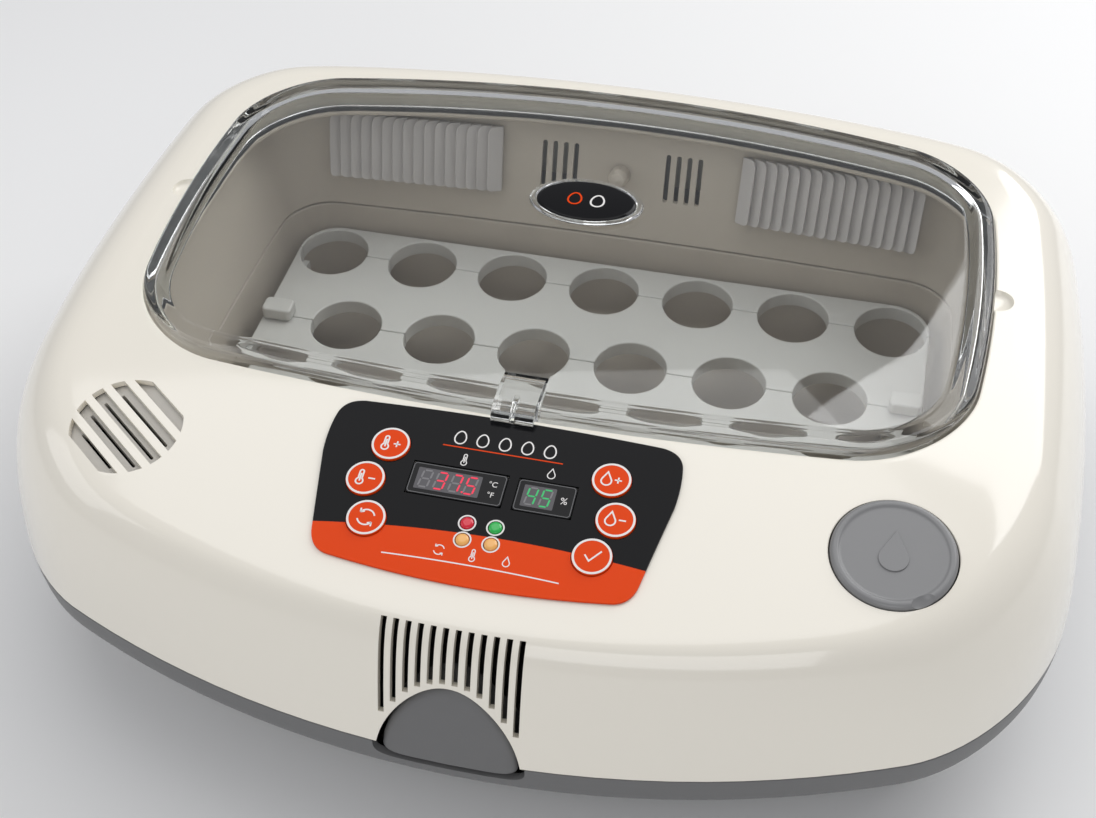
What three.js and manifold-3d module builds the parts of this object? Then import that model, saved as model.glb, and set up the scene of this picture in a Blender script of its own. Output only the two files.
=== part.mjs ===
// A table-top egg incubator: a bowl base with a rocking egg tray, and a lift-off lid that carries
// the controls, the water filler, the fan and a clear lift-off window.
// Millimetres, +X to the right, +Y to the back, +Z up. The feet stand on Z = 0.
import * as THREE from 'three';
import { mergeVertices } from 'three/addons/utils/BufferGeometryUtils.js';
import Module from 'manifold-3d';

const wasm = await Module();
wasm.setup();

// ---------------------------------------------------------------- driving dimensions

const WALL = 3;
const GAP = 0.35;
const AROUND = 48;

// Heights of the main levels.
const FOOT_H = 8;
const SEAM = 73;
const LEDGE = 131;
const PAN_FLOOR = 23;

// The lid's top is level at the back and bends down in one arc towards the front.
const CROWN = { level: 147, bendsFrom: -1.5, radius: 690 };

// Eggs stand in three rows of seven, six and seven.
const EGG_PITCH = 48;
const ROW_PITCH = 52.5;
const MIDDLE_ROW = 53.5;
const SEAT_R = 17.5;
const TRAY_TOP = 60;
const TRAY_T = 8;

// The tray rocks about the middle row. A sector gear on its right end meets the drive pinion.
const PIVOT_Z = 46;
const GEAR_MODULE = 1.4;
const SECTOR_TEETH = 30;
const PINION_TEETH = 10;
const MESH_ANGLE = THREE.MathUtils.degToRad(-152);

// Controls on the lid: [name, x, y] of each key.
const KEYS = [
  ['key_warmer', -44, -92.5],
  ['key_cooler', -49.1, -109.7],
  ['key_turn', -43.7, -126.5],
  ['key_damper', 44, -92.5],
  ['key_drier', 49.1, -109.7],
  ['key_set', 43.7, -126.5],
];
const KEY_R = 7.7;
const LAMPS = [
  ['lamp_heating', -5.5, -121.2],
  ['lamp_humidifying', 5.5, -121.2],
  ['lamp_turning', -5.5, -128.4],
  ['lamp_water_empty', 5.5, -128.4],
];
const LAMP_R = 2.7;
const DISPLAYS = [
  ['temperature_lens', -13.8, -105.2, 37.6, 14.4],
  ['humidity_lens', 20.8, -105.2, 22.8, 14.2],
];
const CAP_AT = [151.7, -103];
const VENT_AT = [-151.7, -103];
const PORT_R = 23;
const VENT_TILT = -37;

// The window's front latch: its half width, the toe that clears the lid as it flips, its back,
// the room left behind it, and its underside.
const LATCH = { half: 8.6, toe: -68, back: -51, play: 2.2, z0: 140.6 };

// The arch over the front catch: half its width, its foot and its top.
const ARCH = { half: 29, foot: 66, top: 105.5 };

// The power inlet in the lid's back, and the left end of the turner's motor.
const INLET = { x: -120, z: 96 };
const MOTOR_X = 178.5;

// Four feet stand at these places.
const FEET = [
  ['foot_front_left', -130, -95],
  ['foot_front_right', 130, -95],
  ['foot_back_left', -130, 105],
  ['foot_back_right', 130, 105],
];

// The tray reaches this far to each side and from front to back.
const TRAY_HALF = 163;
const TRAY_FRONT = -20.5;
const TRAY_BACK = 126;
const LUG_X = 155;

// The louvres and the heaters behind them stand at this height on the back wall.
const LOUVRE_X = 106.2;
const LOUVRE_Z = 105.5;
const FAN_Z = 101;

// Where the water hose passes the liner's front wall, and its radius.
const HOSE = { x: 50, z: 88, r: 2.5 };

// Plans are rectangles whose four sides bulge as arcs and whose corners are rounded.
const BODY = {
  half: 231, sideArc: 900, sideY: 20, front: -183, frontArc: 430, back: 183, backArc: 1000,
  frontCorner: 46, backCorner: 50,
};
const SHOULDER = {
  half: 190, sideArc: 1400, sideY: 30, front: -158.5, frontArc: 430, back: 157.5, backArc: 800,
  frontCorner: 45, backCorner: 30,
};
const OPENING = {
  half: 181.5, sideArc: 520, sideY: 43.5, front: -69.2, frontArc: 1576, back: 150, backArc: 663,
  frontCorner: 40, backCorner: 35,
};
const CHAMBER_TOP = {
  half: 186, sideArc: 700, sideY: 43.5, front: -73.5, frontArc: 1576, back: 153.5, backArc: 1580,
  frontCorner: 42, backCorner: 24,
};
const CHAMBER_FOOT = {
  half: 173.5, sideArc: 900, sideY: 43.5, front: -66, frontArc: 1576, back: 134, backArc: 3000,
  frontCorner: 35, backCorner: 21,
};
const PLAN_CENTRE = 40;

// ---------------------------------------------------------------- finishes

const finish = (color, roughness, metalness = 0, opacity = 1) =>
  new THREE.MeshStandardMaterial({ color, roughness, metalness, opacity, transparent: opacity < 1 });

const FINISHES = {
  shell: () => finish(0xf2eee2, 0.18),
  base: () => finish(0x66676a, 0.45),
  liner: () => finish(0x9a938a, 0.5),
  louvre: () => finish(0xa6a3a3, 0.45),
  tray: () => finish(0xbcb9b4, 0.5),
  cap: () => finish(0x8d8e92, 0.35),
  clear: () => finish(0xdfe5e6, 0.05, 0, 0.35),
  black: () => finish(0x121212, 0.12),
  orange: () => finish(0xe4541c, 0.25),
  display: () => finish(0x4a4a50, 0.15),
  rubber: () => finish(0x26272a, 0.8),
  board: () => finish(0x1f5a38, 0.5),
  steel: () => finish(0xa9abae, 0.35, 0.9),
  nylon: () => finish(0xe6e2d6, 0.45),
  pad: () => finish(0xd9d4c0, 0.95),
  hose: () => finish(0xd4d7d6, 0.3),
};

// ---------------------------------------------------------------- solids and cuts

function toManifold(geometry) {
  const plain = geometry.clone();
  plain.deleteAttribute('normal');
  plain.deleteAttribute('uv');
  const merged = mergeVertices(plain, 1e-4);
  const vertProperties = new Float32Array(merged.attributes.position.array);
  const triVerts = new Uint32Array(merged.index.array);
  return new wasm.Manifold(new wasm.Mesh({ numProp: 3, vertProperties, triVerts }));
}

function toGeometry(manifold) {
  const mesh = manifold.getMesh();
  const geometry = new THREE.BufferGeometry();
  geometry.setAttribute('position', new THREE.BufferAttribute(mesh.vertProperties, 3));
  geometry.setIndex(new THREE.BufferAttribute(mesh.triVerts, 1));
  geometry.computeVertexNormals();
  return geometry;
}

function cut(geometry, tools) {
  let body = toManifold(geometry);
  for (const tool of tools) body = body.subtract(toManifold(tool));
  return toGeometry(body);
}

function join(geometries) {
  let body = toManifold(geometries[0]);
  for (const other of geometries.slice(1)) body = body.add(toManifold(other));
  return toGeometry(body);
}

function common(a, b) {
  return toGeometry(toManifold(a).intersect(toManifold(b)));
}

function box(x0, x1, y0, y1, z0, z1) {
  const geometry = new THREE.BoxGeometry(x1 - x0, y1 - y0, z1 - z0);
  return geometry.translate((x0 + x1) / 2, (y0 + y1) / 2, (z0 + z1) / 2);
}

// A round solid about local Z from a list of [radius, z] corners that starts and ends on the axis.
function turned(corners, segments = 24) {
  const points = corners.map(([r, z]) => new THREE.Vector2(r, z));
  return new THREE.LatheGeometry(points, segments).rotateX(Math.PI / 2);
}

// A ring about local Z from a closed loop of [radius, z] corners.
function turnedRing(corners, segments = 32) {
  return outward(turned([...corners, corners[0]], segments));
}

function rod(radius, z0, z1, segments = 24) {
  return turned([[0, z0], [radius, z0], [radius, z1], [0, z1]], segments);
}

// A flat outline of [x, y] corners, thickened from z0 to z1.
function slab(corners, z0, z1) {
  const shape = new THREE.Shape(corners.map(([x, y]) => new THREE.Vector2(x, y)));
  return new THREE.ExtrudeGeometry(shape, { depth: z1 - z0, bevelEnabled: false }).translate(0, 0, z0);
}

// The same, with the outline standing in YZ and the thickness along X.
function slabX(corners, x0, x1) {
  return slab(corners, x0, x1).applyMatrix4(new THREE.Matrix4().makeBasis(
    new THREE.Vector3(0, 1, 0), new THREE.Vector3(0, 0, 1), new THREE.Vector3(1, 0, 0)));
}

// The same, with the outline standing in XZ and the thickness along Y.
function slabY(corners, y0, y1) {
  return slab(corners, -y1, -y0).rotateX(Math.PI / 2);
}

// ---------------------------------------------------------------- plans and lofts

function planDistance(plan, x, y) {
  const side = Math.hypot(Math.abs(x) - (plan.half - plan.sideArc), y - plan.sideY) - plan.sideArc;
  const back = Math.hypot(x, y - (plan.back - plan.backArc)) - plan.backArc;
  const front = Math.hypot(x, y - (plan.front + plan.frontArc)) - plan.frontArc;
  const end = Math.max(back, front);
  const corner = back > front ? plan.backCorner : plan.frontCorner;
  const outside = Math.hypot(Math.max(side + corner, 0), Math.max(end + corner, 0));
  return outside + Math.min(Math.max(side, end) + corner, 0) - corner;
}

// Distance from the plan centre to the plan's edge, grown outward by `grow`.
function planRadius(plan, angle, grow) {
  let near = 10;
  let far = 400;
  for (let i = 0; i < 40; i += 1) {
    const mid = (near + far) / 2;
    const distance = planDistance(plan, mid * Math.cos(angle), PLAN_CENTRE + mid * Math.sin(angle));
    if (distance < grow) near = mid;
    else far = mid;
  }
  return near;
}

// Directions for a loft's rings, picked so that each step takes an equal share of the plans' length
// and turning: close together at the corners and wide apart along the sides.
function directionsFor(plans, count) {
  const fine = 1440;
  const angles = Array.from({ length: fine + 1 }, (_, i) => (i / fine) * Math.PI * 2);
  const weight = new Array(fine + 1).fill(0);
  for (const plan of plans) {
    const points = angles.map((angle) => {
      const r = planRadius(plan, angle, 0);
      return new THREE.Vector2(r * Math.cos(angle), r * Math.sin(angle));
    });
    const steps = points.slice(1).map((point, i) => point.clone().sub(points[i]));
    const length = steps.reduce((sum, step) => sum + step.length(), 0);
    steps.forEach((step, i) => {
      const next = steps[(i + 1) % fine];
      const turning = Math.abs(Math.atan2(step.cross(next), step.dot(next)));
      weight[i + 1] += step.length() / length + (1.3 * turning) / (Math.PI * 2);
    });
  }
  for (let i = 1; i <= fine; i += 1) weight[i] += weight[i - 1];
  const quarter = (share) => weight[Math.round(share * fine)];
  const picked = [];
  for (let q = 0; q < 4; q += 1) {
    const [low, high] = [quarter(q / 4), quarter((q + 1) / 4)];
    const target = (k) => low + ((high - low) * k) / (count / 4);
    for (let k = 0; k < count / 4; k += 1) picked.push(angles[weight.findIndex((w) => w >= target(k) - 1e-9)]);
  }
  return picked.map((angle) => ({
    angle,
    frontness: Math.max(-Math.sin(angle), 0) ** 3,
    backness: Math.max(Math.sin(angle), 0) ** 3,
  }));
}

const SHELL_DIRECTIONS = directionsFor([BODY, OPENING], AROUND);
const CHAMBER_DIRECTIONS = directionsFor([CHAMBER_FOOT, OPENING], AROUND - 4);

const crownZ = (y) => CROWN.level - Math.max(0, CROWN.bendsFrom - y) ** 2 / (2 * CROWN.radius);

// One ring of a loft: plan edge plus `grow`, at a height that may depend on y.
function ring(plan, grow, height, directions = CHAMBER_DIRECTIONS) {
  return directions.map(({ angle }) => {
    const r = planRadius(plan, angle, grow);
    const y = PLAN_CENTRE + r * Math.sin(angle);
    const z = typeof height === 'function' ? height(y) : height;
    return [r * Math.cos(angle), y, z];
  });
}

function shrunkRing(source, share, height) {
  return source.map(([x, y]) => {
    const py = PLAN_CENTRE + (y - PLAN_CENTRE) * share;
    return [x * share, py, typeof height === 'function' ? height(py) : height];
  });
}

// Skins a list of rings. A closed list makes a hoop; an open one is capped at both ends.
function loft(rings, closed) {
  const count = rings[0].length;
  const positions = rings.flat(2);
  const index = [];
  const last = closed ? rings.length : rings.length - 1;
  for (let j = 0; j < last; j += 1) {
    const k = (j + 1) % rings.length;
    for (let i = 0; i < count; i += 1) {
      const n = (i + 1) % count;
      index.push(j * count + i, j * count + n, k * count + n);
      index.push(j * count + i, k * count + n, k * count + i);
    }
  }
  if (!closed) {
    for (const j of [0, rings.length - 1]) {
      const hub = positions.length / 3;
      const heights = rings[j].map((p) => p[2]);
      positions.push(0, PLAN_CENTRE, Math.max(...heights));
      for (let i = 0; i < count; i += 1) {
        const a = j * count + i;
        const b = j * count + ((i + 1) % count);
        index.push(...(j === 0 ? [hub, b, a] : [hub, a, b]));
      }
    }
  }
  const geometry = new THREE.BufferGeometry();
  geometry.setAttribute('position', new THREE.Float32BufferAttribute(positions, 3));
  geometry.setIndex(index);
  return outward(geometry);
}

// Turns a solid's faces outward if they were listed inside out.
function outward(geometry) {
  const p = geometry.attributes.position;
  const index = geometry.index.array;
  const corners = [new THREE.Vector3(), new THREE.Vector3(), new THREE.Vector3()];
  let volume = 0;
  for (let i = 0; i < index.length; i += 3) {
    corners.forEach((corner, k) => corner.fromBufferAttribute(p, index[i + k]));
    volume += corners[0].dot(corners[1].clone().cross(corners[2]));
  }
  if (volume < 0) {
    for (let i = 0; i < index.length; i += 3) [index[i], index[i + 1]] = [index[i + 1], index[i]];
  }
  geometry.computeVertexNormals();
  return geometry;
}

// A place on the lid's top: X stays along X and Z stands square to the surface.
function onCrown(x, y) {
  const slope = Math.max(0, CROWN.bendsFrom - y) / CROWN.radius;
  const normal = new THREE.Vector3(0, -slope, 1).normalize();
  const across = new THREE.Vector3(1, 0, 0);
  const along = normal.clone().cross(across);
  return new THREE.Matrix4().makeBasis(across, along, normal).setPosition(x, y, crownZ(y));
}

// ---------------------------------------------------------------- the part

const incubator = new THREE.Group();
incubator.name = 'egg_incubator';

function add(name, geometry, material, place = null) {
  const mesh = new THREE.Mesh(geometry, material);
  mesh.name = name;
  if (place) mesh.applyMatrix4(place);
  incubator.add(mesh);
}

// ---------------------------------------------------------------- base

// The bowl's outside as [height, inset]: upright at the seam, then tucked under.
const BOWL = [[SEAM, 0], [65, 0.4], [58, 1.8], [52, 7], [46, 14], [36, 23.5], [24, 30.5], [FOOT_H, 36]];

function baseShell() {
  const level = (inset, z) => ring(BODY, -inset, z, SHELL_DIRECTIONS);
  const outside = BOWL.map(([z, inset]) => level(inset, z)).reverse();
  const inside = BOWL.filter((_, i) => i % 2 === 0).map(([z, inset]) => level(inset + WALL, z));
  inside.push(level(BOWL[BOWL.length - 1][1] + WALL, FOOT_H + WALL));
  const ribs = [-110, 110].map((x) => box(x - 1.5, x + 1.5, -20, 95, FOOT_H + WALL - 0.5, PAN_FLOOR - 3));
  const catchRoom = box(-ARCH.half - 1, ARCH.half + 1, -200, -150, ARCH.foot - GAP, SEAM + 5);
  return cut(join([loft([...outside, ...inside], false), ...ribs]), [catchRoom]);
}

function chamberPan() {
  const rings = [
    ring(CHAMBER_FOOT, -2.5, PAN_FLOOR - 2.5),
    ring(CHAMBER_FOOT, 2.5, SEAM - 3.5),
    ring(CHAMBER_FOOT, 7, SEAM - 3.5),
    ring(CHAMBER_FOOT, 7, SEAM - 1),
    ring(CHAMBER_FOOT, 0, SEAM - 1),
    ring(CHAMBER_FOOT, -5, PAN_FLOOR),
  ];
  const shaftHole = rod(3.4, 150, 190).rotateY(Math.PI / 2).translate(0, PINION_AT.y, PINION_AT.z);
  return cut(loft(rings, false), [shaftHole]);
}

// A fork standing on the pan floor that takes one of the tray's pins.
function trayFork(x) {
  const half = 8;
  const slot = 3.9;
  const bed = PIVOT_Z - slot;
  const outline = [
    [-half, 0], [half, 0], [half, PIVOT_Z + 3 - PAN_FLOOR - GAP], [slot, PIVOT_Z + 3 - PAN_FLOOR - GAP],
    [slot, bed + 1.6 - PAN_FLOOR], [0, bed - PAN_FLOOR - GAP], [-slot, bed + 1.6 - PAN_FLOOR],
    [-slot, PIVOT_Z + 3 - PAN_FLOOR - GAP], [-half, PIVOT_Z + 3 - PAN_FLOOR - GAP],
  ];
  return slabX(outline.map(([y, z]) => [y + MIDDLE_ROW, z + PAN_FLOOR + GAP]), x - 2.5, x + 2.5);
}

// Corners of a run of teeth, from `-span` to `+span` about the tooth that points along `middle`.
function gearTeeth(teeth, middle, span) {
  const pitchR = (teeth * GEAR_MODULE) / 2;
  const baseR = pitchR * Math.cos(THREE.MathUtils.degToRad(25));
  const rootR = pitchR - 1.15 * GEAR_MODULE;
  const tipR = pitchR + 0.8 * GEAR_MODULE;
  const backlash = 0.12 / pitchR;
  const involute = (r) => {
    const a = Math.acos(Math.min(1, baseR / r));
    return Math.tan(a) - a;
  };
  const halfTooth = (r) => Math.PI / (2 * teeth) - backlash + involute(pitchR) - involute(Math.max(r, baseR));
  const radii = [rootR, Math.max(rootR + 0.1, baseR), pitchR, tipR];
  const corners = [];
  for (let k = -span; k <= span; k += 1) {
    const centre = middle + (k * 2 * Math.PI) / teeth;
    for (const r of radii) corners.push(polar(r, centre - halfTooth(r)));
    for (const r of [...radii].reverse()) corners.push(polar(r, centre + halfTooth(r)));
  }
  return corners;
}

const polar = (r, angle) => [r * Math.cos(angle), r * Math.sin(angle)];

function sectorGear() {
  const span = 3;
  const spread = ((span + 0.5) * 2 * Math.PI) / SECTOR_TEETH;
  const inner = [1, 0.5, 0, -0.5, -1].map((share) => polar(7, MESH_ANGLE + share * spread));
  const sector = slab([...gearTeeth(SECTOR_TEETH, MESH_ANGLE, span), ...inner], 0, 4);
  const aboveBars = box(-20, 20, TRAY_TOP - TRAY_T - GAP - PIVOT_Z, 30, -1, 5);
  const body = cut(join([sector, rod(8, 0, 4, 20)]), [rod(3.9, -1, 5, 16), aboveBars]);
  return body.applyMatrix4(gearPlace(154, MIDDLE_ROW, PIVOT_Z));
}

// Gears are drawn in local XY, which stands in the part's YZ.
function gearPlace(x, y, z) {
  return new THREE.Matrix4().makeBasis(
    new THREE.Vector3(0, 1, 0), new THREE.Vector3(0, 0, 1), new THREE.Vector3(1, 0, 0)).setPosition(x, y, z);
}

const MESH_DISTANCE = ((SECTOR_TEETH + PINION_TEETH) * GEAR_MODULE) / 2;
const PINION_AT = {
  y: MIDDLE_ROW + MESH_DISTANCE * Math.cos(MESH_ANGLE),
  z: PIVOT_Z + MESH_DISTANCE * Math.sin(MESH_ANGLE),
};

function drivePinion() {
  const middle = MESH_ANGLE + Math.PI + Math.PI / PINION_TEETH;
  const teeth = [];
  for (let k = 0; k < PINION_TEETH; k += 1) {
    const centre = middle + (k * 2 * Math.PI) / PINION_TEETH;
    teeth.push(...gearTeeth(PINION_TEETH, centre, 0));
  }
  const gear = join([slab(teeth, 0, 4), rod(2.5, 1, MOTOR_X - GAP - 154, 12)]);
  return gear.applyMatrix4(gearPlace(154, PINION_AT.y, PINION_AT.z));
}

function turnerMotor() {
  const can = turned([[0, 0], [17, 0], [18, 1], [18, 13], [0, 13]], 20);
  const terminal = box(-5, 5, 15, 22, 3, 11);
  return join([can, terminal]).applyMatrix4(gearPlace(MOTOR_X, PINION_AT.y, PINION_AT.z));
}

// The catch fills the arch in the lid's front, with a narrow gap all round.
function frontCatch() {
  return common(slabY(archOutline(1.8), -190, -158), lidSolid(0, ARCH.foot));
}

// ---------------------------------------------------------------- lid

// The arch cut into the lid's front: its half width and the heights of its foot and top.

function archOutline(inset) {
  const steps = 14;
  return Array.from({ length: steps + 1 }, (_, k) => {
    const a = (k / steps) * Math.PI;
    const waist = 1 - 0.16 * Math.sin(a) ** 2;
    const x = (ARCH.half - inset) * Math.cos(a) * waist;
    return [x, ARCH.foot + (ARCH.top - inset - ARCH.foot) * Math.sin(a)];
  });
}

// Lid wall section by angle: upright with a little draft at the seam, rounding onto the crown.
const SECTION = [0, 14, 30, 46, 60, 71, 80, 90].map((deg) => THREE.MathUtils.degToRad(deg));

function wallRing(a, inset, seam) {
  return SHELL_DIRECTIONS.map(({ angle, frontness, backness }) => {
    const share = 0.06 + 0.49 * frontness + 0.14 * backness;
    const power = 2 / (2.3 + 1.2 * frontness);
    const rise = Math.sin(a) ** power;
    const drawn = share * rise + (1 - share) * (1 - Math.max(Math.cos(a), 0) ** power);
    const outer = planRadius(BODY, angle, -inset);
    const inner = planRadius(SHOULDER, angle, -inset * 0.6);
    const r = outer + (inner - outer) * drawn;
    const y = PLAN_CENTRE + r * Math.sin(angle);
    return [r * Math.cos(angle), y, seam + rise * (crownZ(y) - inset - seam)];
  });
}

function crownRing(share, inset) {
  return SHELL_DIRECTIONS.map(({ angle }) => {
    const from = planRadius(SHOULDER, angle, -inset * 0.6);
    const to = planRadius(OPENING, angle, 0);
    const r = from + (to - from) * share;
    const y = PLAN_CENTRE + r * Math.sin(angle);
    return [r * Math.cos(angle), y, crownZ(y) - inset];
  });
}

// The lid's outer form as a solid block, shrunk by `inset`.
function lidSolid(inset, seam) {
  return loft([...SECTION.map((a) => wallRing(a, inset, seam)), crownRing(0.5, inset), crownRing(1, inset)], false);
}

// Twelve upright slots fan over the arch; each stops a little above it.
function frontSlots() {
  const pitch = 4.76;
  const slots = [];
  for (let k = 0; k < 12; k += 1) {
    const x = (k - 5.5) * pitch;
    const overArch = ARCH.foot + (ARCH.top - ARCH.foot) * Math.sqrt(Math.max(0, 1 - (x / 28) ** 2)) + 3;
    const bottom = Math.max(88, overArch);
    slots.push(box(x - 1.1, x + 1.1, -200, -140, bottom, 127.5));
  }
  return slots;
}

// Five slanted slots in a circle, leaving four bars.
function ventSlots() {
  const tilt = THREE.MathUtils.degToRad(VENT_TILT);
  return [-2, -1, 0, 1, 2].map((k) => {
    const offset = k * 8.6;
    const half = Math.sqrt(PORT_R ** 2 - (Math.abs(offset) + 2.4) ** 2);
    return box(-half, half, offset - 2.6, offset + 2.6, -12, 6).rotateZ(tilt).applyMatrix4(onCrown(...VENT_AT));
  });
}

function lidShell() {
  const top = SEAM + GAP;
  const outside = SECTION.map((a) => wallRing(a, 0, top));
  const crown = [crownRing(0.34, 0), crownRing(0.67, 0), crownRing(1, 0)];
  const under = [crownRing(1, WALL), crownRing(0.5, WALL)];
  const inside = SECTION.filter((_, i) => i % 2 === 1 || i === 0).map((a) => wallRing(a, WALL, top)).reverse();
  const shell = loft([...outside, ...crown, ...under, ...inside], true);
  const holes = [
    slabY(archOutline(0), -200, -150),
    ...frontSlots(),
    ...ventSlots(),
    rod(PORT_R + 0.9, -20, 6, 28).applyMatrix4(onCrown(...CAP_AT)),
    ...KEYS.map(([, x, y]) => rod(KEY_R + 0.4, -8, 6, 14).applyMatrix4(onCrown(x, y))),
    box(-33, 33, -131.5, -97, 120, 150),
    rod(6.5, 143, 150, 20).translate(OPENING.half + 1, 38.5, 0),
    rod(6.5, 143, 150, 20).translate(-OPENING.half - 1, 38.5, 0),
    box(INLET.x - 15, INLET.x + 15, 150, 200, INLET.z - 11, INLET.z + 11),
  ];
  return cut(shell, holes);
}

function lidLiner() {
  const rings = [
    ring(OPENING, 6.5, (y) => crownZ(y) - 4.5),
    ring(OPENING, 0.6, (y) => crownZ(y) - 4.5),
    ring(OPENING, 0.6, LEDGE),
    ring(OPENING, -4, LEDGE),
    ring(OPENING, -4, LEDGE - 2.5),
    ring(CHAMBER_TOP, 0, LEDGE - 2.5),
    ring(CHAMBER_FOOT, 0, SEAM),
    ring(CHAMBER_FOOT, 2.5, SEAM),
    ring(CHAMBER_TOP, 2.5, LEDGE),
    ring(OPENING, 3, LEDGE),
    ring(OPENING, 3, (y) => crownZ(y) - 7),
    ring(OPENING, 6.5, (y) => crownZ(y) - 7),
  ];
  const intake = [-1, 1].flatMap((side) => [0, 1, 2, 3].map((k) => {
    const x = side * (23.5 + 5.4 * k);
    return box(x - 1.2, x + 1.2, 125, 165, 93, 116.5);
  }));
  const outlets = [-1, 1].map((side) => box(side * 107 - 36, side * 107 + 36, 120, 165, 95, 116));
  const hoseHole = rod(3.4, -20, 20, 16).rotateX(Math.PI / 2).translate(HOSE.x, -68, HOSE.z);
  return cut(loft(rings, true), [...intake, ...outlets, hoseHole]);
}

// The back wall leans; pieces on it use this place: Z out of the wall into the chamber, Y up it.
function onBackWall(x, z, off) {
  const share = (z - SEAM) / (LEDGE - 2.5 - SEAM);
  const at = (px) => {
    const foot = CHAMBER_FOOT.back - CHAMBER_FOOT.backArc + Math.sqrt(CHAMBER_FOOT.backArc ** 2 - px ** 2);
    const top = CHAMBER_TOP.back - CHAMBER_TOP.backArc + Math.sqrt(CHAMBER_TOP.backArc ** 2 - px ** 2);
    return foot + (top - foot) * share;
  };
  const lean = Math.atan2(CHAMBER_TOP.back - CHAMBER_FOOT.back, LEDGE - 2.5 - SEAM);
  const yaw = Math.atan2(at(x + 1) - at(x - 1), 2);
  const across = new THREE.Vector3(Math.cos(yaw), Math.sin(yaw), 0);
  const up = new THREE.Vector3(0, Math.sin(lean), Math.cos(lean));
  const out = across.clone().cross(up).normalize();
  const place = new THREE.Matrix4().makeBasis(across, out.clone().cross(across), out);
  return place.setPosition(new THREE.Vector3(x, at(x), z).addScaledVector(out, off));
}

// Sixteen overlapping slats, drawn as one toothed section and raised up the wall.
function louvre(side) {
  const slats = 16;
  const width = 88;
  const pitch = width / slats;
  const section = [[-width / 2, 0]];
  for (let k = 0; k < slats; k += 1) {
    const x = -width / 2 + k * pitch;
    section.push([x, 1.4], [x + 0.01, 5], [x + 1.3, 5.2]);
  }
  section.push([width / 2, 1.4], [width / 2, 0]);
  const drawn = side > 0 ? section : section.map(([x, y]) => [-x, y]).reverse();
  return slab(drawn, -17, 17).rotateX(Math.PI / 2);
}

function fanFrame() {
  const plate = box(-25, 25, -25, 25, -10, 0);
  const tunnel = rod(23, -8, 1, 28);
  const inlet = [0, 1, 2, 3].map((k) => box(7, 20, -4.5, 4.5, -11, -7).rotateZ((k * Math.PI) / 2));
  return cut(plate, [tunnel, ...inlet]);
}

function fanRotor() {
  const hub = rod(9, -7.4, -1, 16);
  const blades = [0, 1, 2, 3, 4, 5, 6].map((k) => box(8, 21.5, -4.5, 4.5, -0.5, 0.5).rotateX(0.5)
    .translate(0, 0, -4.2).rotateZ((k * 2 * Math.PI) / 7));
  return join([hub, ...blades]);
}

function heater() {
  const core = box(-34, 34, -9, 9, 0, 3);
  const fins = Array.from({ length: 9 }, (_, k) => box(-33 + k * 8.2, -32 + k * 8.2, -9, 9, 2.5, 8));
  return join([core, ...fins]);
}

function waterTank() {
  const outer = turned([[0, -52], [24.5, -52], [24.5, -17], [22, -17], [22, -4.2], [0, -4.2]], 28);
  const inner = turned([[0, -50], [22.5, -50], [22.5, -19], [19.6, -19], [19.6, -3], [0, -3]], 28);
  return cut(outer, [inner]);
}

function waterCap() {
  const corners = [
    [0, -10], [15, -10], [15, -3.6], [PORT_R + 0.4, -3.2], [PORT_R + 0.4, 0.3], [PORT_R - 0.8, 1.5],
    [PORT_R - 2.6, 1.5], [PORT_R - 3.4, 0.8], [0, 1.0],
  ];
  const notch = new THREE.SphereGeometry(7, 10, 8).translate(13.5, -20.5, 5.4);
  return cut(turned(corners, 28), [notch]);
}

// The water hose runs from the pump through the liner's front wall and ends over the pad.
function waterHose() {
  const route = new THREE.CatmullRomCurve3([
    new THREE.Vector3(83.5, -102, 94), new THREE.Vector3(70, -101, 93), new THREE.Vector3(HOSE.x + 2, -90, 89),
    new THREE.Vector3(HOSE.x, -70, HOSE.z), new THREE.Vector3(HOSE.x, -55, 85), new THREE.Vector3(HOSE.x, -49, 76),
  ]);
  const section = new THREE.Shape().absarc(0, 0, HOSE.r, 0, Math.PI * 2, false);
  return new THREE.ExtrudeGeometry(section, { steps: 14, curveSegments: 4, extrudePath: route });
}

function ventDamper() {
  const disc = rod(20.9, -8.4, -6.9, 28);
  const slits = [-2, -1, 0, 1, 2].map((k) => {
    const half = Math.sqrt(18.5 ** 2 - (k * 7.4) ** 2);
    return box(-half, half, k * 7.4 - 1, k * 7.4 + 1, -10, 0).rotateZ(THREE.MathUtils.degToRad(VENT_TILT));
  });
  return cut(disc, slits);
}

function ventDuct() {
  return turnedRing([[21.3, -6.3], [21.3, -8.8], [18.4, -8.8], [18.4, -16], [22.4, -16], [22.4, -6.3]], 28);
}

// ---------------------------------------------------------------- control panel

function panelOutline() {
  const path = new THREE.Path();
  path.moveTo(-54, -143.5);
  path.quadraticCurveTo(-61.5, -142.5, -63, -134.5);
  path.lineTo(-69.6, -100);
  path.quadraticCurveTo(-70.8, -82, -69.6, -82);
  path.quadraticCurveTo(-68.5, -74.6, -60, -73.6);
  path.quadraticCurveTo(0, -70.6, 60, -73.6);
  path.quadraticCurveTo(68.5, -74.6, 69.6, -82);
  path.quadraticCurveTo(70.8, -88, 69.6, -100);
  path.lineTo(63, -134.5);
  path.quadraticCurveTo(61.5, -142.5, 54, -143.5);
  path.quadraticCurveTo(0, -150.5, -54, -143.5);
  return path.getPoints(4).slice(0, -1).map((p) => [p.x, p.y]);
}

// A skin that lies on the crown, between two heights above it, over a plan outline.
function crownSkin(outline, low, high) {
  const stations = Array.from({ length: 6 }, (_, k) => -66 - k * 18);
  const under = stations.map((y) => [y, crownZ(y) + low]);
  const over = stations.map((y) => [y, crownZ(y) + high]).reverse();
  const sheet = slabX([...over, ...under], -90, 90);
  return common(outward(mergeVertices(stripped(sheet))), slab(outline, 100, 160));
}

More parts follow.
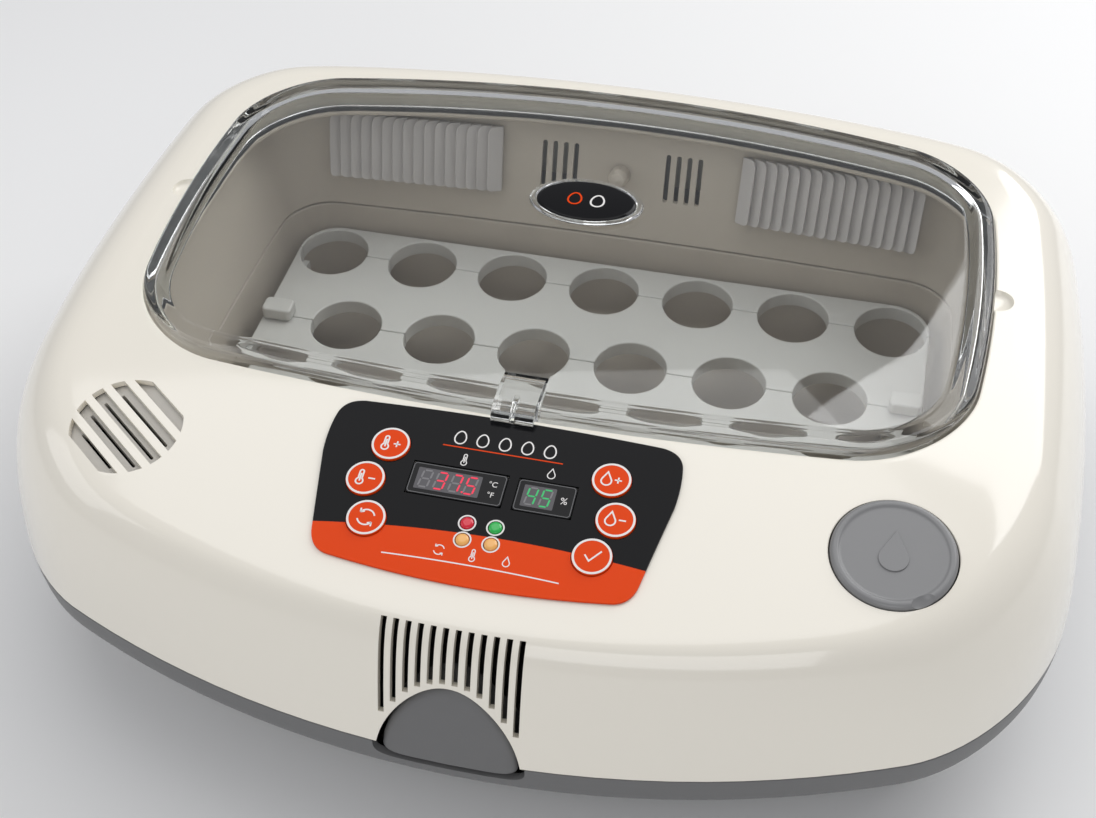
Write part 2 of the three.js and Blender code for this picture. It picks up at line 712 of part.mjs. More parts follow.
function stripped(geometry) {
  const plain = geometry.clone();
  plain.deleteAttribute('normal');
  plain.deleteAttribute('uv');
  return plain;
}

function controlPanel() {
  const sheet = crownSkin(panelOutline(), GAP, 1.2);
  const holes = [
    ...KEYS.map(([, x, y]) => rod(KEY_R + 0.4, -8, 6, 14).applyMatrix4(onCrown(x, y))),
    ...LAMPS.map(([, x, y]) => rod(LAMP_R + GAP, -8, 6, 10).applyMatrix4(onCrown(x, y))),
    ...DISPLAYS.map(([, x, y, w, h]) => box(-w / 2 - GAP, w / 2 + GAP, -h / 2 - GAP, h / 2 + GAP, -5, 5)
      .applyMatrix4(onCrown(x, y))),
  ];
  return cut(sheet, holes);
}

function key() {
  return turned([
    [0, -10.8], [2.5, -10.8], [2.5, -2.6], [KEY_R, -2.6], [KEY_R, 1.6], [KEY_R - 0.7, 2.2], [0, 2.2],
  ], 18);
}

function lamp() {
  return turned([[0, -9], [2, -9], [2, -0.2], [LAMP_R, -0.2], [LAMP_R, 1.2], [1.6, 1.9], [0, 2.1]], 12);
}

function controlBoard() {
  const board = box(-66, 66, -37, 29, -13.6, -12);
  const chips = [[-26, -6, 13, 26], [8, 26, 14, 26], [-14, 14, -34, -22]];
  return join([board, ...chips.map(([x0, x1, y0, y1]) => box(x0, x1, y0, y1, -12.5, -9.5))]);
}

// ---------------------------------------------------------------- window

function windowPane() {
  const rim = (lift) => (y) => crownZ(y) + lift;
  const skirt = LEDGE + 2.6;
  const edge = ring(OPENING, -12, rim(2.4));
  const soffit = ring(OPENING, -10.5, rim(-0.6));
  const rings = [
    shrunkRing(edge, 0.5, rim(2.4)),
    edge,
    ring(OPENING, -9.5, rim(3.6)),
    ring(OPENING, -5, rim(4.4)),
    ring(OPENING, -2.2, rim(3.9)),
    ring(OPENING, -0.8, rim(2.2)),
    ring(OPENING, -0.8, skirt),
    ring(OPENING, -3.6, skirt),
    ring(OPENING, -5.2, rim(-1.2)),
    soffit,
    shrunkRing(soffit, 0.5, rim(-0.6)),
  ];
  const notch = box(-LATCH.half - 0.5, LATCH.half + 0.5, -80, LATCH.back + LATCH.play, LATCH.z0 - 1.2, 160);
  return cut(loft(rings, false), [notch]);
}

// The front catch of the window: a clear block in the rim with a finger lip over the lid.
function windowLatch() {
  const profile = [
    [LATCH.toe, LATCH.z0], [LATCH.back, LATCH.z0], [LATCH.back, 149], [-57, 151],
    [-69.5, 151], [-74.5, 147.4], [-74.5, 145.2], [LATCH.toe, 145.2],
  ];
  const groove = box(-1, 1, -80, -66, LATCH.z0 - 1, 160);
  return cut(slabX(profile, -LATCH.half, LATCH.half), [groove]);
}

// ---------------------------------------------------------------- tray

// One bar of the tray, from row y0 to row y1, with half-round egg seats along its edges.
function trayBar(y0, y1, seatsFront, seatsBack) {
  const half = TRAY_HALF;
  const round = 19;
  const points = [];
  const run = (count, y, side, forward) => {
    const seats = Array.from({ length: count }, (_, k) => (k - (count - 1) / 2) * EGG_PITCH);
    if (!forward) seats.reverse();
    for (const x of seats) {
      for (let k = 0; k <= 6; k += 1) {
        const a = Math.PI * (k / 6);
        points.push([x - (forward ? 1 : -1) * SEAT_R * Math.cos(a), y + side * SEAT_R * Math.sin(a)]);
      }
    }
  };
  const corner = (cx, cy, from) => {
    for (let k = 0; k <= 4; k += 1) {
      const a = from + (k / 4) * (Math.PI / 2);
      points.push([cx + round * Math.cos(a), cy + round * Math.sin(a)]);
    }
  };
  if (seatsFront) {
    points.push([-half, y0]);
    run(seatsFront, y0, 1, true);
    points.push([half, y0]);
  } else {
    corner(-half + round, y0 + round, Math.PI);
    corner(half - round, y0 + round, -Math.PI / 2);
  }
  if (seatsBack) {
    points.push([half, y1]);
    run(seatsBack, y1, -1, false);
    points.push([-half, y1]);
  } else {
    corner(half - round, y1 - round, 0);
    corner(-half + round, y1 - round, Math.PI / 2);
  }
  return slab(points, TRAY_TOP - TRAY_T, TRAY_TOP);
}

function trayEnd(side) {
  const bar = box(158.6, TRAY_HALF, MIDDLE_ROW - 52, MIDDLE_ROW + 52, 46, TRAY_TOP - TRAY_T - GAP);
  const boss = rod(4.4, 158.6, TRAY_HALF, 16).rotateY(Math.PI / 2).translate(0, MIDDLE_ROW, PIVOT_Z);
  const pin = rod(3.5, 146.5, 160, 16).rotateY(Math.PI / 2).translate(0, MIDDLE_ROW, PIVOT_Z);
  const end = join([bar, boss, pin]);
  return side > 0 ? end : end.applyMatrix4(new THREE.Matrix4().makeRotationZ(Math.PI))
    .translate(0, 2 * MIDDLE_ROW, 0);
}

function trayLug() {
  return slab([[-7.5, -5], [7.5, -5], [7.5, 2], [4.5, 5], [-4.5, 5], [-7.5, 2]], TRAY_TOP + GAP, TRAY_TOP + 7);
}

// ---------------------------------------------------------------- assembly

const halfGap = GAP / 2;
const frontRow = MIDDLE_ROW - ROW_PITCH;
const backRow = MIDDLE_ROW + ROW_PITCH;
const overTank = onCrown(...CAP_AT);

add('base_shell', baseShell(), FINISHES.base());
add('chamber_pan', chamberPan(), FINISHES.liner());
for (const [name, x, y] of FEET) {
  add(name, turned([[0, 0], [9, 0], [11, 2], [11, FOOT_H - GAP], [0, FOOT_H - GAP]], 16), FINISHES.rubber(),
    new THREE.Matrix4().makeTranslation(x, y, 0));
}
add('tray_fork_left', trayFork(-150.2), FINISHES.liner());
add('tray_fork_right', trayFork(150.2), FINISHES.liner());
add('turner_motor', turnerMotor(), FINISHES.steel());
add('drive_pinion', drivePinion(), FINISHES.nylon());
add('front_catch', frontCatch(), FINISHES.base());
add('evaporation_pad', box(-58, 58, -54, -40, PAN_FLOOR + GAP, 58), FINISHES.pad());
add('base_connector', box(193, 206, 60, 80, 52, SEAM - 1), FINISHES.black());

add('tray_bar_front', trayBar(TRAY_FRONT, frontRow - halfGap, 0, 7), FINISHES.tray());
add('tray_bar_mid_front', trayBar(frontRow + halfGap, MIDDLE_ROW - halfGap, 7, 6), FINISHES.tray());
add('tray_bar_mid_back', trayBar(MIDDLE_ROW + halfGap, backRow - halfGap, 6, 7), FINISHES.tray());
add('tray_bar_back', trayBar(backRow + halfGap, TRAY_BACK, 7, 0), FINISHES.tray());
add('tray_end_left', trayEnd(-1), FINISHES.tray());
add('tray_end_right', trayEnd(1), FINISHES.tray());
add('tray_lug_left', trayLug().translate(-LUG_X, MIDDLE_ROW, 0), FINISHES.tray());
add('tray_lug_right', trayLug().translate(LUG_X, MIDDLE_ROW, 0), FINISHES.tray());
add('sector_gear', sectorGear(), FINISHES.nylon());

add('lid_shell', lidShell(), FINISHES.shell());
add('lid_liner', lidLiner(), FINISHES.liner());
add('louvre_left', louvre(-1), FINISHES.louvre(), onBackWall(-LOUVRE_X, LOUVRE_Z, 2.6));
add('louvre_right', louvre(1), FINISHES.louvre(), onBackWall(LOUVRE_X, LOUVRE_Z, 2.6));
add('fan_frame', fanFrame(), FINISHES.black(), onBackWall(0, FAN_Z, -4));
add('fan_rotor', fanRotor(), FINISHES.black(), onBackWall(0, FAN_Z, -4));
add('heater_left', heater(), FINISHES.steel(), onBackWall(-LOUVRE_X - 0.8, LOUVRE_Z, -13));
add('heater_right', heater(), FINISHES.steel(), onBackWall(LOUVRE_X + 0.8, LOUVRE_Z, -13));
add('sensor_probe', turned([[0, 0.4], [5, 0.4], [5, 8], [3.5, 11], [0, 12]], 20), FINISHES.rubber(),
  onBackWall(0, 104, 0));
add('power_inlet', cut(box(INLET.x - 14.6, INLET.x + 14.6, 160, 176, INLET.z - 10.6, INLET.z + 10.6),
  [box(INLET.x - 11.5, INLET.x + 11.5, 164, 180, INLET.z - 7.5, INLET.z + 7.5)]), FINISHES.black());
add('lid_connector', box(193, 206, 60, 80, SEAM + GAP, 86), FINISHES.black());
add('water_tank', waterTank(), FINISHES.hose(), overTank);
add('water_cap', waterCap(), FINISHES.cap(), overTank);
add('cap_seal', turnedRing([[15.4, -8], [18.4, -8], [18.4, -5], [15.4, -5]], 24), FINISHES.rubber(),
  overTank);
add('humidity_pump', box(84, 112, -112, -92, 84, 104), FINISHES.black());
add('water_hose', waterHose(), FINISHES.hose());
add('vent_damper', ventDamper(), FINISHES.louvre(), onCrown(...VENT_AT));
add('vent_duct', ventDuct(), FINISHES.louvre(), onCrown(...VENT_AT));

add('control_panel', controlPanel(), FINISHES.black());
for (const [name, x, y, w, h] of DISPLAYS) {
  add(name, box(-w / 2, w / 2, -h / 2, h / 2, -0.4, 1.5), FINISHES.display(), onCrown(x, y));
}
for (const [name, x, y] of KEYS) add(name, key(), FINISHES.orange(), onCrown(x, y));
for (const [name, x, y] of LAMPS) add(name, lamp(), FINISHES.orange(), onCrown(x, y));
add('display_module', box(-32, 32, -8, 7.5, -11, -1.2), FINISHES.black(), onCrown(0, -106));
add('control_board', controlBoard(), FINISHES.board(), onCrown(0, -110));

add('window_pane', windowPane(), FINISHES.clear());
add('window_seal', loft([ring(OPENING, -0.9, LEDGE + GAP), ring(OPENING, -3.6, LEDGE + GAP),
  ring(OPENING, -3.6, LEDGE + 2.2), ring(OPENING, -0.9, LEDGE + 2.2)], true), FINISHES.rubber());
add('window_latch', windowLatch(), FINISHES.clear());
add('window_badge', turned([[0, 0.35], [26, 0.35], [26, 1.4], [24.5, 2.2], [0, 2.2]], 28)
  .scale(1, 0.615, 1).translate(0, 63, CROWN.level + 2.4), FINISHES.black());

export default incubator;
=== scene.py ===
"""The looks of a table-top egg incubator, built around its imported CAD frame.

Sizes are in millimetres, with +X to the right, +Y to the back and +Z up. Meshes are made in metres.
"""

import logging
import math
from collections.abc import Callable, Sequence
from dataclasses import dataclass, field
from enum import Enum

import bpy
import numpy as np
from mathutils import Matrix, Vector
from mathutils.bvhtree import BVHTree


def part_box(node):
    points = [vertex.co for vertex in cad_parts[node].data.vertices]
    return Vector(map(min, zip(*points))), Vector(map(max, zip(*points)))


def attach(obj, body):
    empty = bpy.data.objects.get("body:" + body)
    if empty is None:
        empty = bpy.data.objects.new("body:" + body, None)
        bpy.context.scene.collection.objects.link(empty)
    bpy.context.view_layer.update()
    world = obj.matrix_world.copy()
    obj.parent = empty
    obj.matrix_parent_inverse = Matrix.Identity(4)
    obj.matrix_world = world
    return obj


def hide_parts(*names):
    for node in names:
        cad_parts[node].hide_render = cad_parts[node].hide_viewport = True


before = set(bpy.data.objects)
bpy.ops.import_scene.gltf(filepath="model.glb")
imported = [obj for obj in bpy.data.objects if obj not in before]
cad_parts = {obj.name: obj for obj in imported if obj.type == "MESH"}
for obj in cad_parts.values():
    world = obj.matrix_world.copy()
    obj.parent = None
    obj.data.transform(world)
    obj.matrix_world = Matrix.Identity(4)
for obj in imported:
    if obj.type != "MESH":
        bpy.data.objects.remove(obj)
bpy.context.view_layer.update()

LOG = logging.getLogger("incubator")

MM = 0.001
WALL = 3.0
GAP = 0.35
SEAM = 73.0
LEDGE = 131.0
PAN_FLOOR = 23.0
PLAN_CENTRE = 40.0
AROUND = 192

Color = tuple[float, float, float]
Height = float | Callable[[np.ndarray], np.ndarray]


# ---------------------------------------------------------------- plans and the lid's crown


@dataclass(frozen=True)
class Plan:
    """A rectangle seen from above, whose sides bulge as arcs and whose corners are rounded."""

    half: float
    side_arc: float
    side_y: float
    front: float
    front_arc: float
    back: float
    back_arc: float
    front_corner: float
    back_corner: float

    def distance(self, x: np.ndarray, y: np.ndarray) -> np.ndarray:
        """Signed distance to the plan's edge, negative inside.

        Args:
            x: Places across.
            y: Places from front to back.

        Returns:
            One distance for each place.
        """
        side = np.hypot(np.abs(x) - (self.half - self.side_arc), y - self.side_y) - self.side_arc
        back = np.hypot(x, y - (self.back - self.back_arc)) - self.back_arc
        front = np.hypot(x, y - (self.front + self.front_arc)) - self.front_arc
        end = np.maximum(back, front)
        corner = np.where(back > front, self.back_corner, self.front_corner)
        outside = np.hypot(np.maximum(side + corner, 0), np.maximum(end + corner, 0))
        return outside + np.minimum(np.maximum(side, end) + corner, 0) - corner

    def reach(self, angles: np.ndarray, grow: float) -> np.ndarray:
        """How far the edge, grown outward, lies from the plan centre.

        Args:
            angles: Directions from the plan centre, in radians.
            grow: How much the plan is grown, or shrunk where negative.

        Returns:
            One distance for each direction.
        """
        near = np.full_like(angles, 10.0)
        far = np.full_like(angles, 400.0)
        for _ in range(40):
            middle = (near + far) / 2
            x = middle * np.cos(angles)
            y = PLAN_CENTRE + middle * np.sin(angles)
            inside = self.distance(x, y) < grow
            near = np.where(inside, middle, near)
            far = np.where(inside, far, middle)
        return near

    def ring(self, angles: np.ndarray, grow: float, height: Height) -> np.ndarray:
        """One ring of points along the plan's edge.

        Args:
            angles: Directions from the plan centre, in radians.
            grow: How much the plan is grown.
            height: A level, or a function that gives the level at each y.

        Returns:
            The ring's points, one a row.
        """
        reach = self.reach(angles, grow)
        x = reach * np.cos(angles)
        y = PLAN_CENTRE + reach * np.sin(angles)
        z = height(y) if callable(height) else np.full_like(y, height)
        return np.column_stack([x, y, z])


BODY = Plan(231, 900, 20, -183, 430, 183, 1000, 46, 50)
SHOULDER = Plan(190, 1400, 30, -158.5, 430, 157.5, 800, 45, 30)
OPENING = Plan(181.5, 520, 43.5, -69.2, 1576, 150, 663, 40, 35)
CHAMBER_TOP = Plan(186, 700, 43.5, -73.5, 1576, 153.5, 1580, 42, 24)
CHAMBER_FOOT = Plan(173.5, 900, 43.5, -66, 1576, 134, 3000, 35, 21)


@dataclass(frozen=True)
class Crown:
    """The lid's top: level at the back, then bent down in one arc towards the front."""

    level: float = 147.0
    bends_from: float = -1.5
    radius: float = 690.0

    def height(self, y: np.ndarray | float) -> np.ndarray | float:
        """The top's level at y."""
        return self.level - np.maximum(0, self.bends_from - y) ** 2 / (2 * self.radius)

    def over(self, lift: float) -> Callable[[np.ndarray], np.ndarray]:
        """A height function that runs `lift` above the top."""
        return lambda y: self.height(y) + lift

    def place(self, x: float, y: float) -> Matrix:
        """A frame on the top: X stays along X and Z stands square to the surface.

        Args:
            x: Place across.
            y: Place from front to back.

        Returns:
            The frame as a matrix, in millimetres.
        """
        slope = max(0.0, self.bends_from - y) / self.radius
        normal = Vector((0, -slope, 1)).normalized()
        across = Vector((1, 0, 0))
        along = normal.cross(across)
        place = Matrix((across, along, normal)).transposed().to_4x4()
        place.translation = (x, y, float(self.height(y)))
        return place


CROWN = Crown()


def directions(plans: Sequence[Plan], count: int) -> np.ndarray:
    """Directions for rings, close together at the corners and wide apart along the sides.

    Args:
        plans: The plans that share the rings.
        count: How many directions, a multiple of four.

    Returns:
        Angles from the plan centre, in radians.
    """
    fine = np.linspace(0, 2 * math.pi, 2881)
    weight = np.zeros(len(fine))
    for plan in plans:
        reach = plan.reach(fine, 0)
        points = np.column_stack([reach * np.cos(fine), reach * np.sin(fine)])
        steps = np.diff(points, axis=0)
        length = np.hypot(*steps.T)
        heading = np.unwrap(np.arctan2(steps[:, 1], steps[:, 0]))
        turning = np.abs(np.diff(heading, append=heading[:1] + 2 * math.pi))
        weight[1:] += length / length.sum() + 1.3 * turning / (2 * math.pi)
    total = np.cumsum(weight)
    picked: list[float] = []
    for quarter in range(4):
        low, high = np.interp([quarter * math.pi / 2, (quarter + 1) * math.pi / 2], fine, total)
        share = np.linspace(low, high, count // 4, endpoint=False)
        picked.extend(np.interp(share, total, fine))
    return np.array(picked)


SHELL_AROUND = directions([BODY, OPENING], AROUND)
CHAMBER_AROUND = directions([CHAMBER_FOOT, OPENING], AROUND)


@dataclass(frozen=True)
class LidForm:
    """The lid's outer form: an upright wall that rounds over onto the crown."""

    angles: np.ndarray = field(default_factory=lambda: SHELL_AROUND)

    def wall(self, rise_angle: float, inset: float, seam: float) -> np.ndarray:
        """A ring of the wall.

        Args:
            rise_angle: From 0 at the seam to a quarter turn on the crown, in radians.
            inset: How far inside the outer surface.
            seam: The level of the lid's lower edge.

        Returns:
            The ring's points.
        """
        frontness = np.maximum(-np.sin(self.angles), 0) ** 3
        backness = np.maximum(np.sin(self.angles), 0) ** 3
        share = 0.06 + 0.49 * frontness + 0.14 * backness
        power = 2 / (2.3 + 1.2 * frontness)
        rise = math.sin(rise_angle) ** power
        fall = 1 - max(math.cos(rise_angle), 0) ** power
        drawn = share * rise + (1 - share) * fall
        outer = BODY.reach(self.angles, -inset)
        inner = SHOULDER.reach(self.angles, -inset * 0.6)
        reach = outer + (inner - outer) * drawn
        y = PLAN_CENTRE + reach * np.sin(self.angles)
        z = seam + rise * (CROWN.height(y) - inset - seam)
        return np.column_stack([reach * np.cos(self.angles), y, z])

    def top(self, share: float, inset: float) -> np.ndarray:
        """A ring on the crown.

        Args:
            share: From 0 at the shoulder to 1 at the window opening.
            inset: How far under the surface.

        Returns:
            The ring's points.
        """
        start = SHOULDER.reach(self.angles, -inset * 0.6)
        end = OPENING.reach(self.angles, 0)
        reach = start + (end - start) * share
        y = PLAN_CENTRE + reach * np.sin(self.angles)
        return np.column_stack([reach * np.cos(self.angles), y, CROWN.height(y) - inset])


# ---------------------------------------------------------------- solids


def filleted(points: Sequence[np.ndarray], radius: float | Sequence[float], closed: bool,
             steps: int = 3) -> list[np.ndarray]:
    """Rounds the corners of a line of points or, in step, of a whole line of rings.

    Args:
        points: The corners: single points, or rings of equal length.
        radius: How far each rounding reaches along the line, one value or one for each corner.
        closed: True if the line returns to its start.
        steps: Points in each rounding, less one.

    Returns:
        The rounded line.
    """
    count = len(points)
    radii = [radius] * count if isinstance(radius, (int, float)) else list(radius)
    rounded: list[np.ndarray] = []
    for k, corner in enumerate(points):
        if radii[k] <= 0 or (not closed and k in (0, count - 1)):
            rounded.append(np.array(corner, float))
            continue
        ends = []
        for other in (points[k - 1], points[(k + 1) % count]):
            line = np.asarray(other, float) - corner
            length = np.maximum(np.linalg.norm(line, axis=-1, keepdims=True), 1e-9)
            ends.append(corner + line / length * np.minimum(radii[k], 0.45 * length))
        for t in np.linspace(0, 1, steps + 1):
            rounded.append((1 - t) ** 2 * ends[0] + 2 * t * (1 - t) * corner + t ** 2 * ends[1])
    return rounded


def curve_through(points: Sequence[Sequence[float]], per_span: int) -> np.ndarray:
    """A smooth line through all the points.

    Args:
        points: The points to pass.
        per_span: New points in each span.

    Returns:
        The line's points, one a row.
    """
    p = np.array(points, float)
    p = np.vstack([2 * p[0] - p[1], p, 2 * p[-1] - p[-2]])
    line = []
    for k in range(1, len(p) - 2):
        for t in np.linspace(0, 1, per_span, endpoint=False):
            a = 2 * p[k] + (p[k + 1] - p[k - 1]) * t
            b = (2 * p[k - 1] - 5 * p[k] + 4 * p[k + 1] - p[k + 2]) * t ** 2
            c = (3 * p[k] - p[k - 1] - 3 * p[k + 1] + p[k + 2]) * t ** 3
            line.append((a + b + c) / 2)
    return np.array([*line, p[-2]])


class Carve(Enum):
    """What a carving keeps of a piece."""

    AWAY = "DIFFERENCE"
    COMMON = "INTERSECT"


@dataclass
class Solid:
    """The points and faces of one closed form, in millimetres."""

    points: np.ndarray
    faces: list[tuple[int, ...]]

    def moved(self, place: Matrix) -> "Solid":
        """The same form in another place."""
        turn = np.array(place)
        return Solid(self.points @ turn[:3, :3].T + turn[:3, 3], self.faces)

    def scaled(self, x: float, y: float, z: float) -> "Solid":
        """The same form, stretched along each axis."""
        return Solid(self.points * np.array([x, y, z]), self.faces)

    def plus(self, *others: "Solid") -> "Solid":
        """This form and the others as one list of faces, not merged.

        Args:
            others: The forms to add.

        Returns:
            One form that holds them all.
        """
        points, faces = self.points, list(self.faces)
        for other in others:
            faces += [tuple(i + len(points) for i in face) for face in other.faces]
            points = np.vstack([points, other.points])
        return Solid(points, faces)

    def outward(self) -> "Solid":
        """The same form with its faces turned outward.

        Returns:
            This form, or one with every face turned over.
        """
        volume = 0.0
        for face in self.faces:
            a = self.points[face[0]]
            for b, c in zip(face[1:-1], face[2:]):
                volume += float(np.dot(a, np.cross(self.points[b], self.points[c])))
        return self if volume > 0 else Solid(self.points, [face[::-1] for face in self.faces])

    def piece(self, name: str) -> bpy.types.Object:
        """A new object of this form.

        Args:
            name: The object's name.

        Returns:
            The object, in metres, linked to the scene.
        """
        mesh = bpy.data.meshes.new(name)
        mesh.from_pydata((self.points * MM).tolist(), [], self.faces)
        mesh.validate()
        made = bpy.data.objects.new(name, mesh)
        bpy.context.scene.collection.objects.link(made)
        return made


def lofted(rings: Sequence[np.ndarray], closed: bool = False,
           hubs: tuple[np.ndarray | None, np.ndarray | None] = (None, None)) -> Solid:
    """Skins a list of rings.

    Args:
        rings: Rings with the same number of points.
        closed: True if the last ring joins the first; otherwise both ends are capped.
        hubs: Middle points of the two caps, where the ring's own middle won't do.

    Returns:
        The closed form.
    """
    count = len(rings[0])
    points = [np.asarray(ring, float) for ring in rings]
    faces: list[tuple[int, ...]] = []
    last = len(rings) if closed else len(rings) - 1
    for j in range(last):
        k = (j + 1) % len(rings)
        for i in range(count):
            n = (i + 1) % count
            faces.append((j * count + i, j * count + n, k * count + n, k * count + i))
    if not closed:
        total = len(rings) * count
        for order, (ring, hub) in enumerate(((0, hubs[0]), (len(rings) - 1, hubs[1]))):
            middle = points[ring].mean(axis=0) if hub is None else hub
            points.append(np.array([middle], float))
            for i in range(count):
                a, b = ring * count + i, ring * count + (i + 1) % count
                faces.append((total + order, b, a) if ring == 0 else (total + order, a, b))
    return Solid(np.vstack(points), faces).outward()


def turned(profile: Sequence[Sequence[float]], segments: int = 64, rounding: float = 0.0,
           closed: bool = False) -> Solid:
    """A round form about Z.

    Args:
        profile: Corners as [radius, z]. An open profile starts and ends on the axis.
        segments: Steps around.
        rounding: How far the corners are rounded.
        closed: True for a ring's closed profile.

    Returns:
        The closed form.
    """
    corners = [np.array(corner, float) for corner in profile]
    line = filleted(corners, rounding, closed) if rounding else corners
    angles = np.linspace(0, 2 * math.pi, segments, endpoint=False)
    circle = np.column_stack([np.cos(angles), np.sin(angles)])
    body = line if closed else line[1:-1]
    rings = [np.column_stack([circle * r, np.full(segments, z)]) for r, z in body]
    if closed:
        return lofted(rings, closed=True)
    return lofted(rings, hubs=(np.array([0, 0, line[0][1]]), np.array([0, 0, line[-1][1]])))


def prism(outline: Sequence[Sequence[float]], low: float, high: float) -> Solid:
    """A flat outline in XY, thickened along Z.

    Args:
        outline: The outline's corners, in order.
        low: The level of the lower face.
        high: The level of the upper face.

    Returns:
        The closed form.
    """
    flat = np.array(outline, float)
    count = len(flat)
    rings = [np.column_stack([flat, np.full(count, z)]) for z in (low, high)]
    sides = [(i, (i + 1) % count, count + (i + 1) % count, count + i) for i in range(count)]
    caps = [tuple(range(count))[::-1], tuple(range(count, 2 * count))]
    return Solid(np.vstack(rings), sides + caps).outward()


def block(x0: float, x1: float, y0: float, y1: float, z0: float, z1: float) -> Solid:
    """A box between two corners."""
    return prism([(x0, y0), (x1, y0), (x1, y1), (x0, y1)], z0, z1)


def rod(radius: float, low: float, high: float, segments: int) -> Solid:
    """An upright cylinder about Z."""
    return turned([[0, low], [radius, low], [radius, high], [0, high]], segments)


def axes(across: Sequence[float], along: Sequence[float], out: Sequence[float],
         at: Sequence[float] = (0, 0, 0)) -> Matrix:
    """A place whose axes point along given directions.

    Args:
        across: The direction of X.
        along: The direction of Y.
        out: The direction of Z.
        at: The origin.

    Returns:
        The place as a matrix, in millimetres.
    """
    place = Matrix((Vector(across), Vector(along), Vector(out))).transposed().to_4x4()
    place.translation = Vector(at)
    return place


STANDING_XZ = axes((1, 0, 0), (0, 0, 1), (0, -1, 0))
STANDING_YZ = axes((0, 1, 0), (0, 0, 1), (1, 0, 0))


def arc(x: float, y: float, radius: float, start: float, end: float, steps: int) -> list[list[float]]:
    """Points along an arc.

    Args:
        x: The centre's place across.
        y: The centre's place along.
        radius: The arc's radius.
        start: The first point's angle, in degrees.
        end: The last point's angle, in degrees.
        steps: How many steps lie between them.

    Returns:
        The points, both ends included.
    """
    turn = np.radians(np.linspace(start, end, steps + 1))
    return [[x + radius * math.cos(a), y + radius * math.sin(a)] for a in turn]


def rounded_box(width: float, height: float, radius: float, steps: int = 6) -> list[list[float]]:
    """The outline of a rectangle about the origin with rounded corners.

    Args:
        width: Its size across.
        height: Its size along.
        radius: The corners' radius.
        steps: Steps in each corner.

    Returns:
        The outline's points.
    """
    x, y = width / 2 - radius, height / 2 - radius
    outline = []
    for quarter, (cx, cy) in enumerate(((x, y), (-x, y), (-x, -y), (x, -y))):
        outline += arc(cx, cy, radius, quarter * 90, quarter * 90 + 90, steps)
    return outline


# ---------------------------------------------------------------- work on pieces


def settle(piece: bpy.types.Object) -> bpy.types.Object:
    """Turns a piece's modifiers into plain mesh.

    Args:
        piece: The piece, which keeps its name.

    Returns:
        The same piece.
    """
    graph = bpy.context.evaluated_depsgraph_get()
    mesh = bpy.data.meshes.new_from_object(piece.evaluated_get(graph))
    old = piece.data
    piece.modifiers.clear()
    piece.data = mesh
    mesh.name = piece.name
    bpy.data.meshes.remove(old)
    return piece


def carve(piece: bpy.types.Object, tools: Sequence[Solid], keep: Carve = Carve.AWAY) -> bpy.types.Object:
    """Cuts a piece with forms.

    Args:
        piece: The piece to cut.
        tools: The cutting forms, which may overlap.
        keep: Which part stays.

    Returns:
        The same piece.
    """
    tool = tools[0].plus(*tools[1:]).piece("cutting_tool")
    step = piece.modifiers.new("carve", "BOOLEAN")
    step.operation = keep.value
    step.solver = "EXACT"
    step.use_self = len(tools) > 1
    step.object = tool
    settle(piece)
    bpy.data.objects.remove(tool)
    return piece


def soften(piece: bpy.types.Object, width: float, segments: int = 3, angle: float = 40) -> bpy.types.Object:
    """Rounds a piece's edges.

    Args:
        piece: The piece to round.
        width: How far the rounding reaches from the edge.
        segments: Steps in the rounding.
        angle: The bluntest edge that is rounded, in degrees between its faces.

    Returns:
        The same piece.
    """
    step = piece.modifiers.new("soften", "BEVEL")
    step.width = width * MM
    step.segments = segments
    step.limit_method = "ANGLE"
    step.angle_limit = math.radians(angle)
    step.miter_outer = "MITER_ARC"
    return settle(piece)


def smooth(piece: bpy.types.Object, angle: float = 35, weighted: bool = False) -> bpy.types.Object:
    """Shades a piece smooth, except over edges sharper than `angle` degrees.

    Args:
        piece: The piece to shade.
        angle: The sharpest edge that stays smooth, in degrees.
        weighted: True to let large faces lead the shading, for carved pieces.

    Returns:
        The same piece.
    """
    piece.data.shade_smooth()
    piece.data.set_sharp_from_angle(angle=math.radians(angle))
    if weighted:
        step = piece.modifiers.new("shading", "WEIGHTED_NORMAL")
        step.keep_sharp = True
        settle(piece)
    return piece


# ---------------------------------------------------------------- finishes


Value = bpy.types.NodeSocket | float


def arithmetic(tree: bpy.types.NodeTree, operation: str, a: Value, b: Value = 0.0) -> bpy.types.NodeSocket:
    """Adds a node that works out one sum.

    Args:
        tree: The tree to add it to.
        operation: Blender's name for the sum.
        a: The first value, a socket or a number.
        b: The second value.

    Returns:
        The socket that holds the result.
    """
    node = tree.nodes.new("ShaderNodeMath")
    node.operation = operation
    for socket, value in zip(node.inputs, (a, b)):
        if isinstance(value, (int, float)):
            socket.default_value = value
        else:
            tree.links.new(value, socket)
    return node.outputs[0]


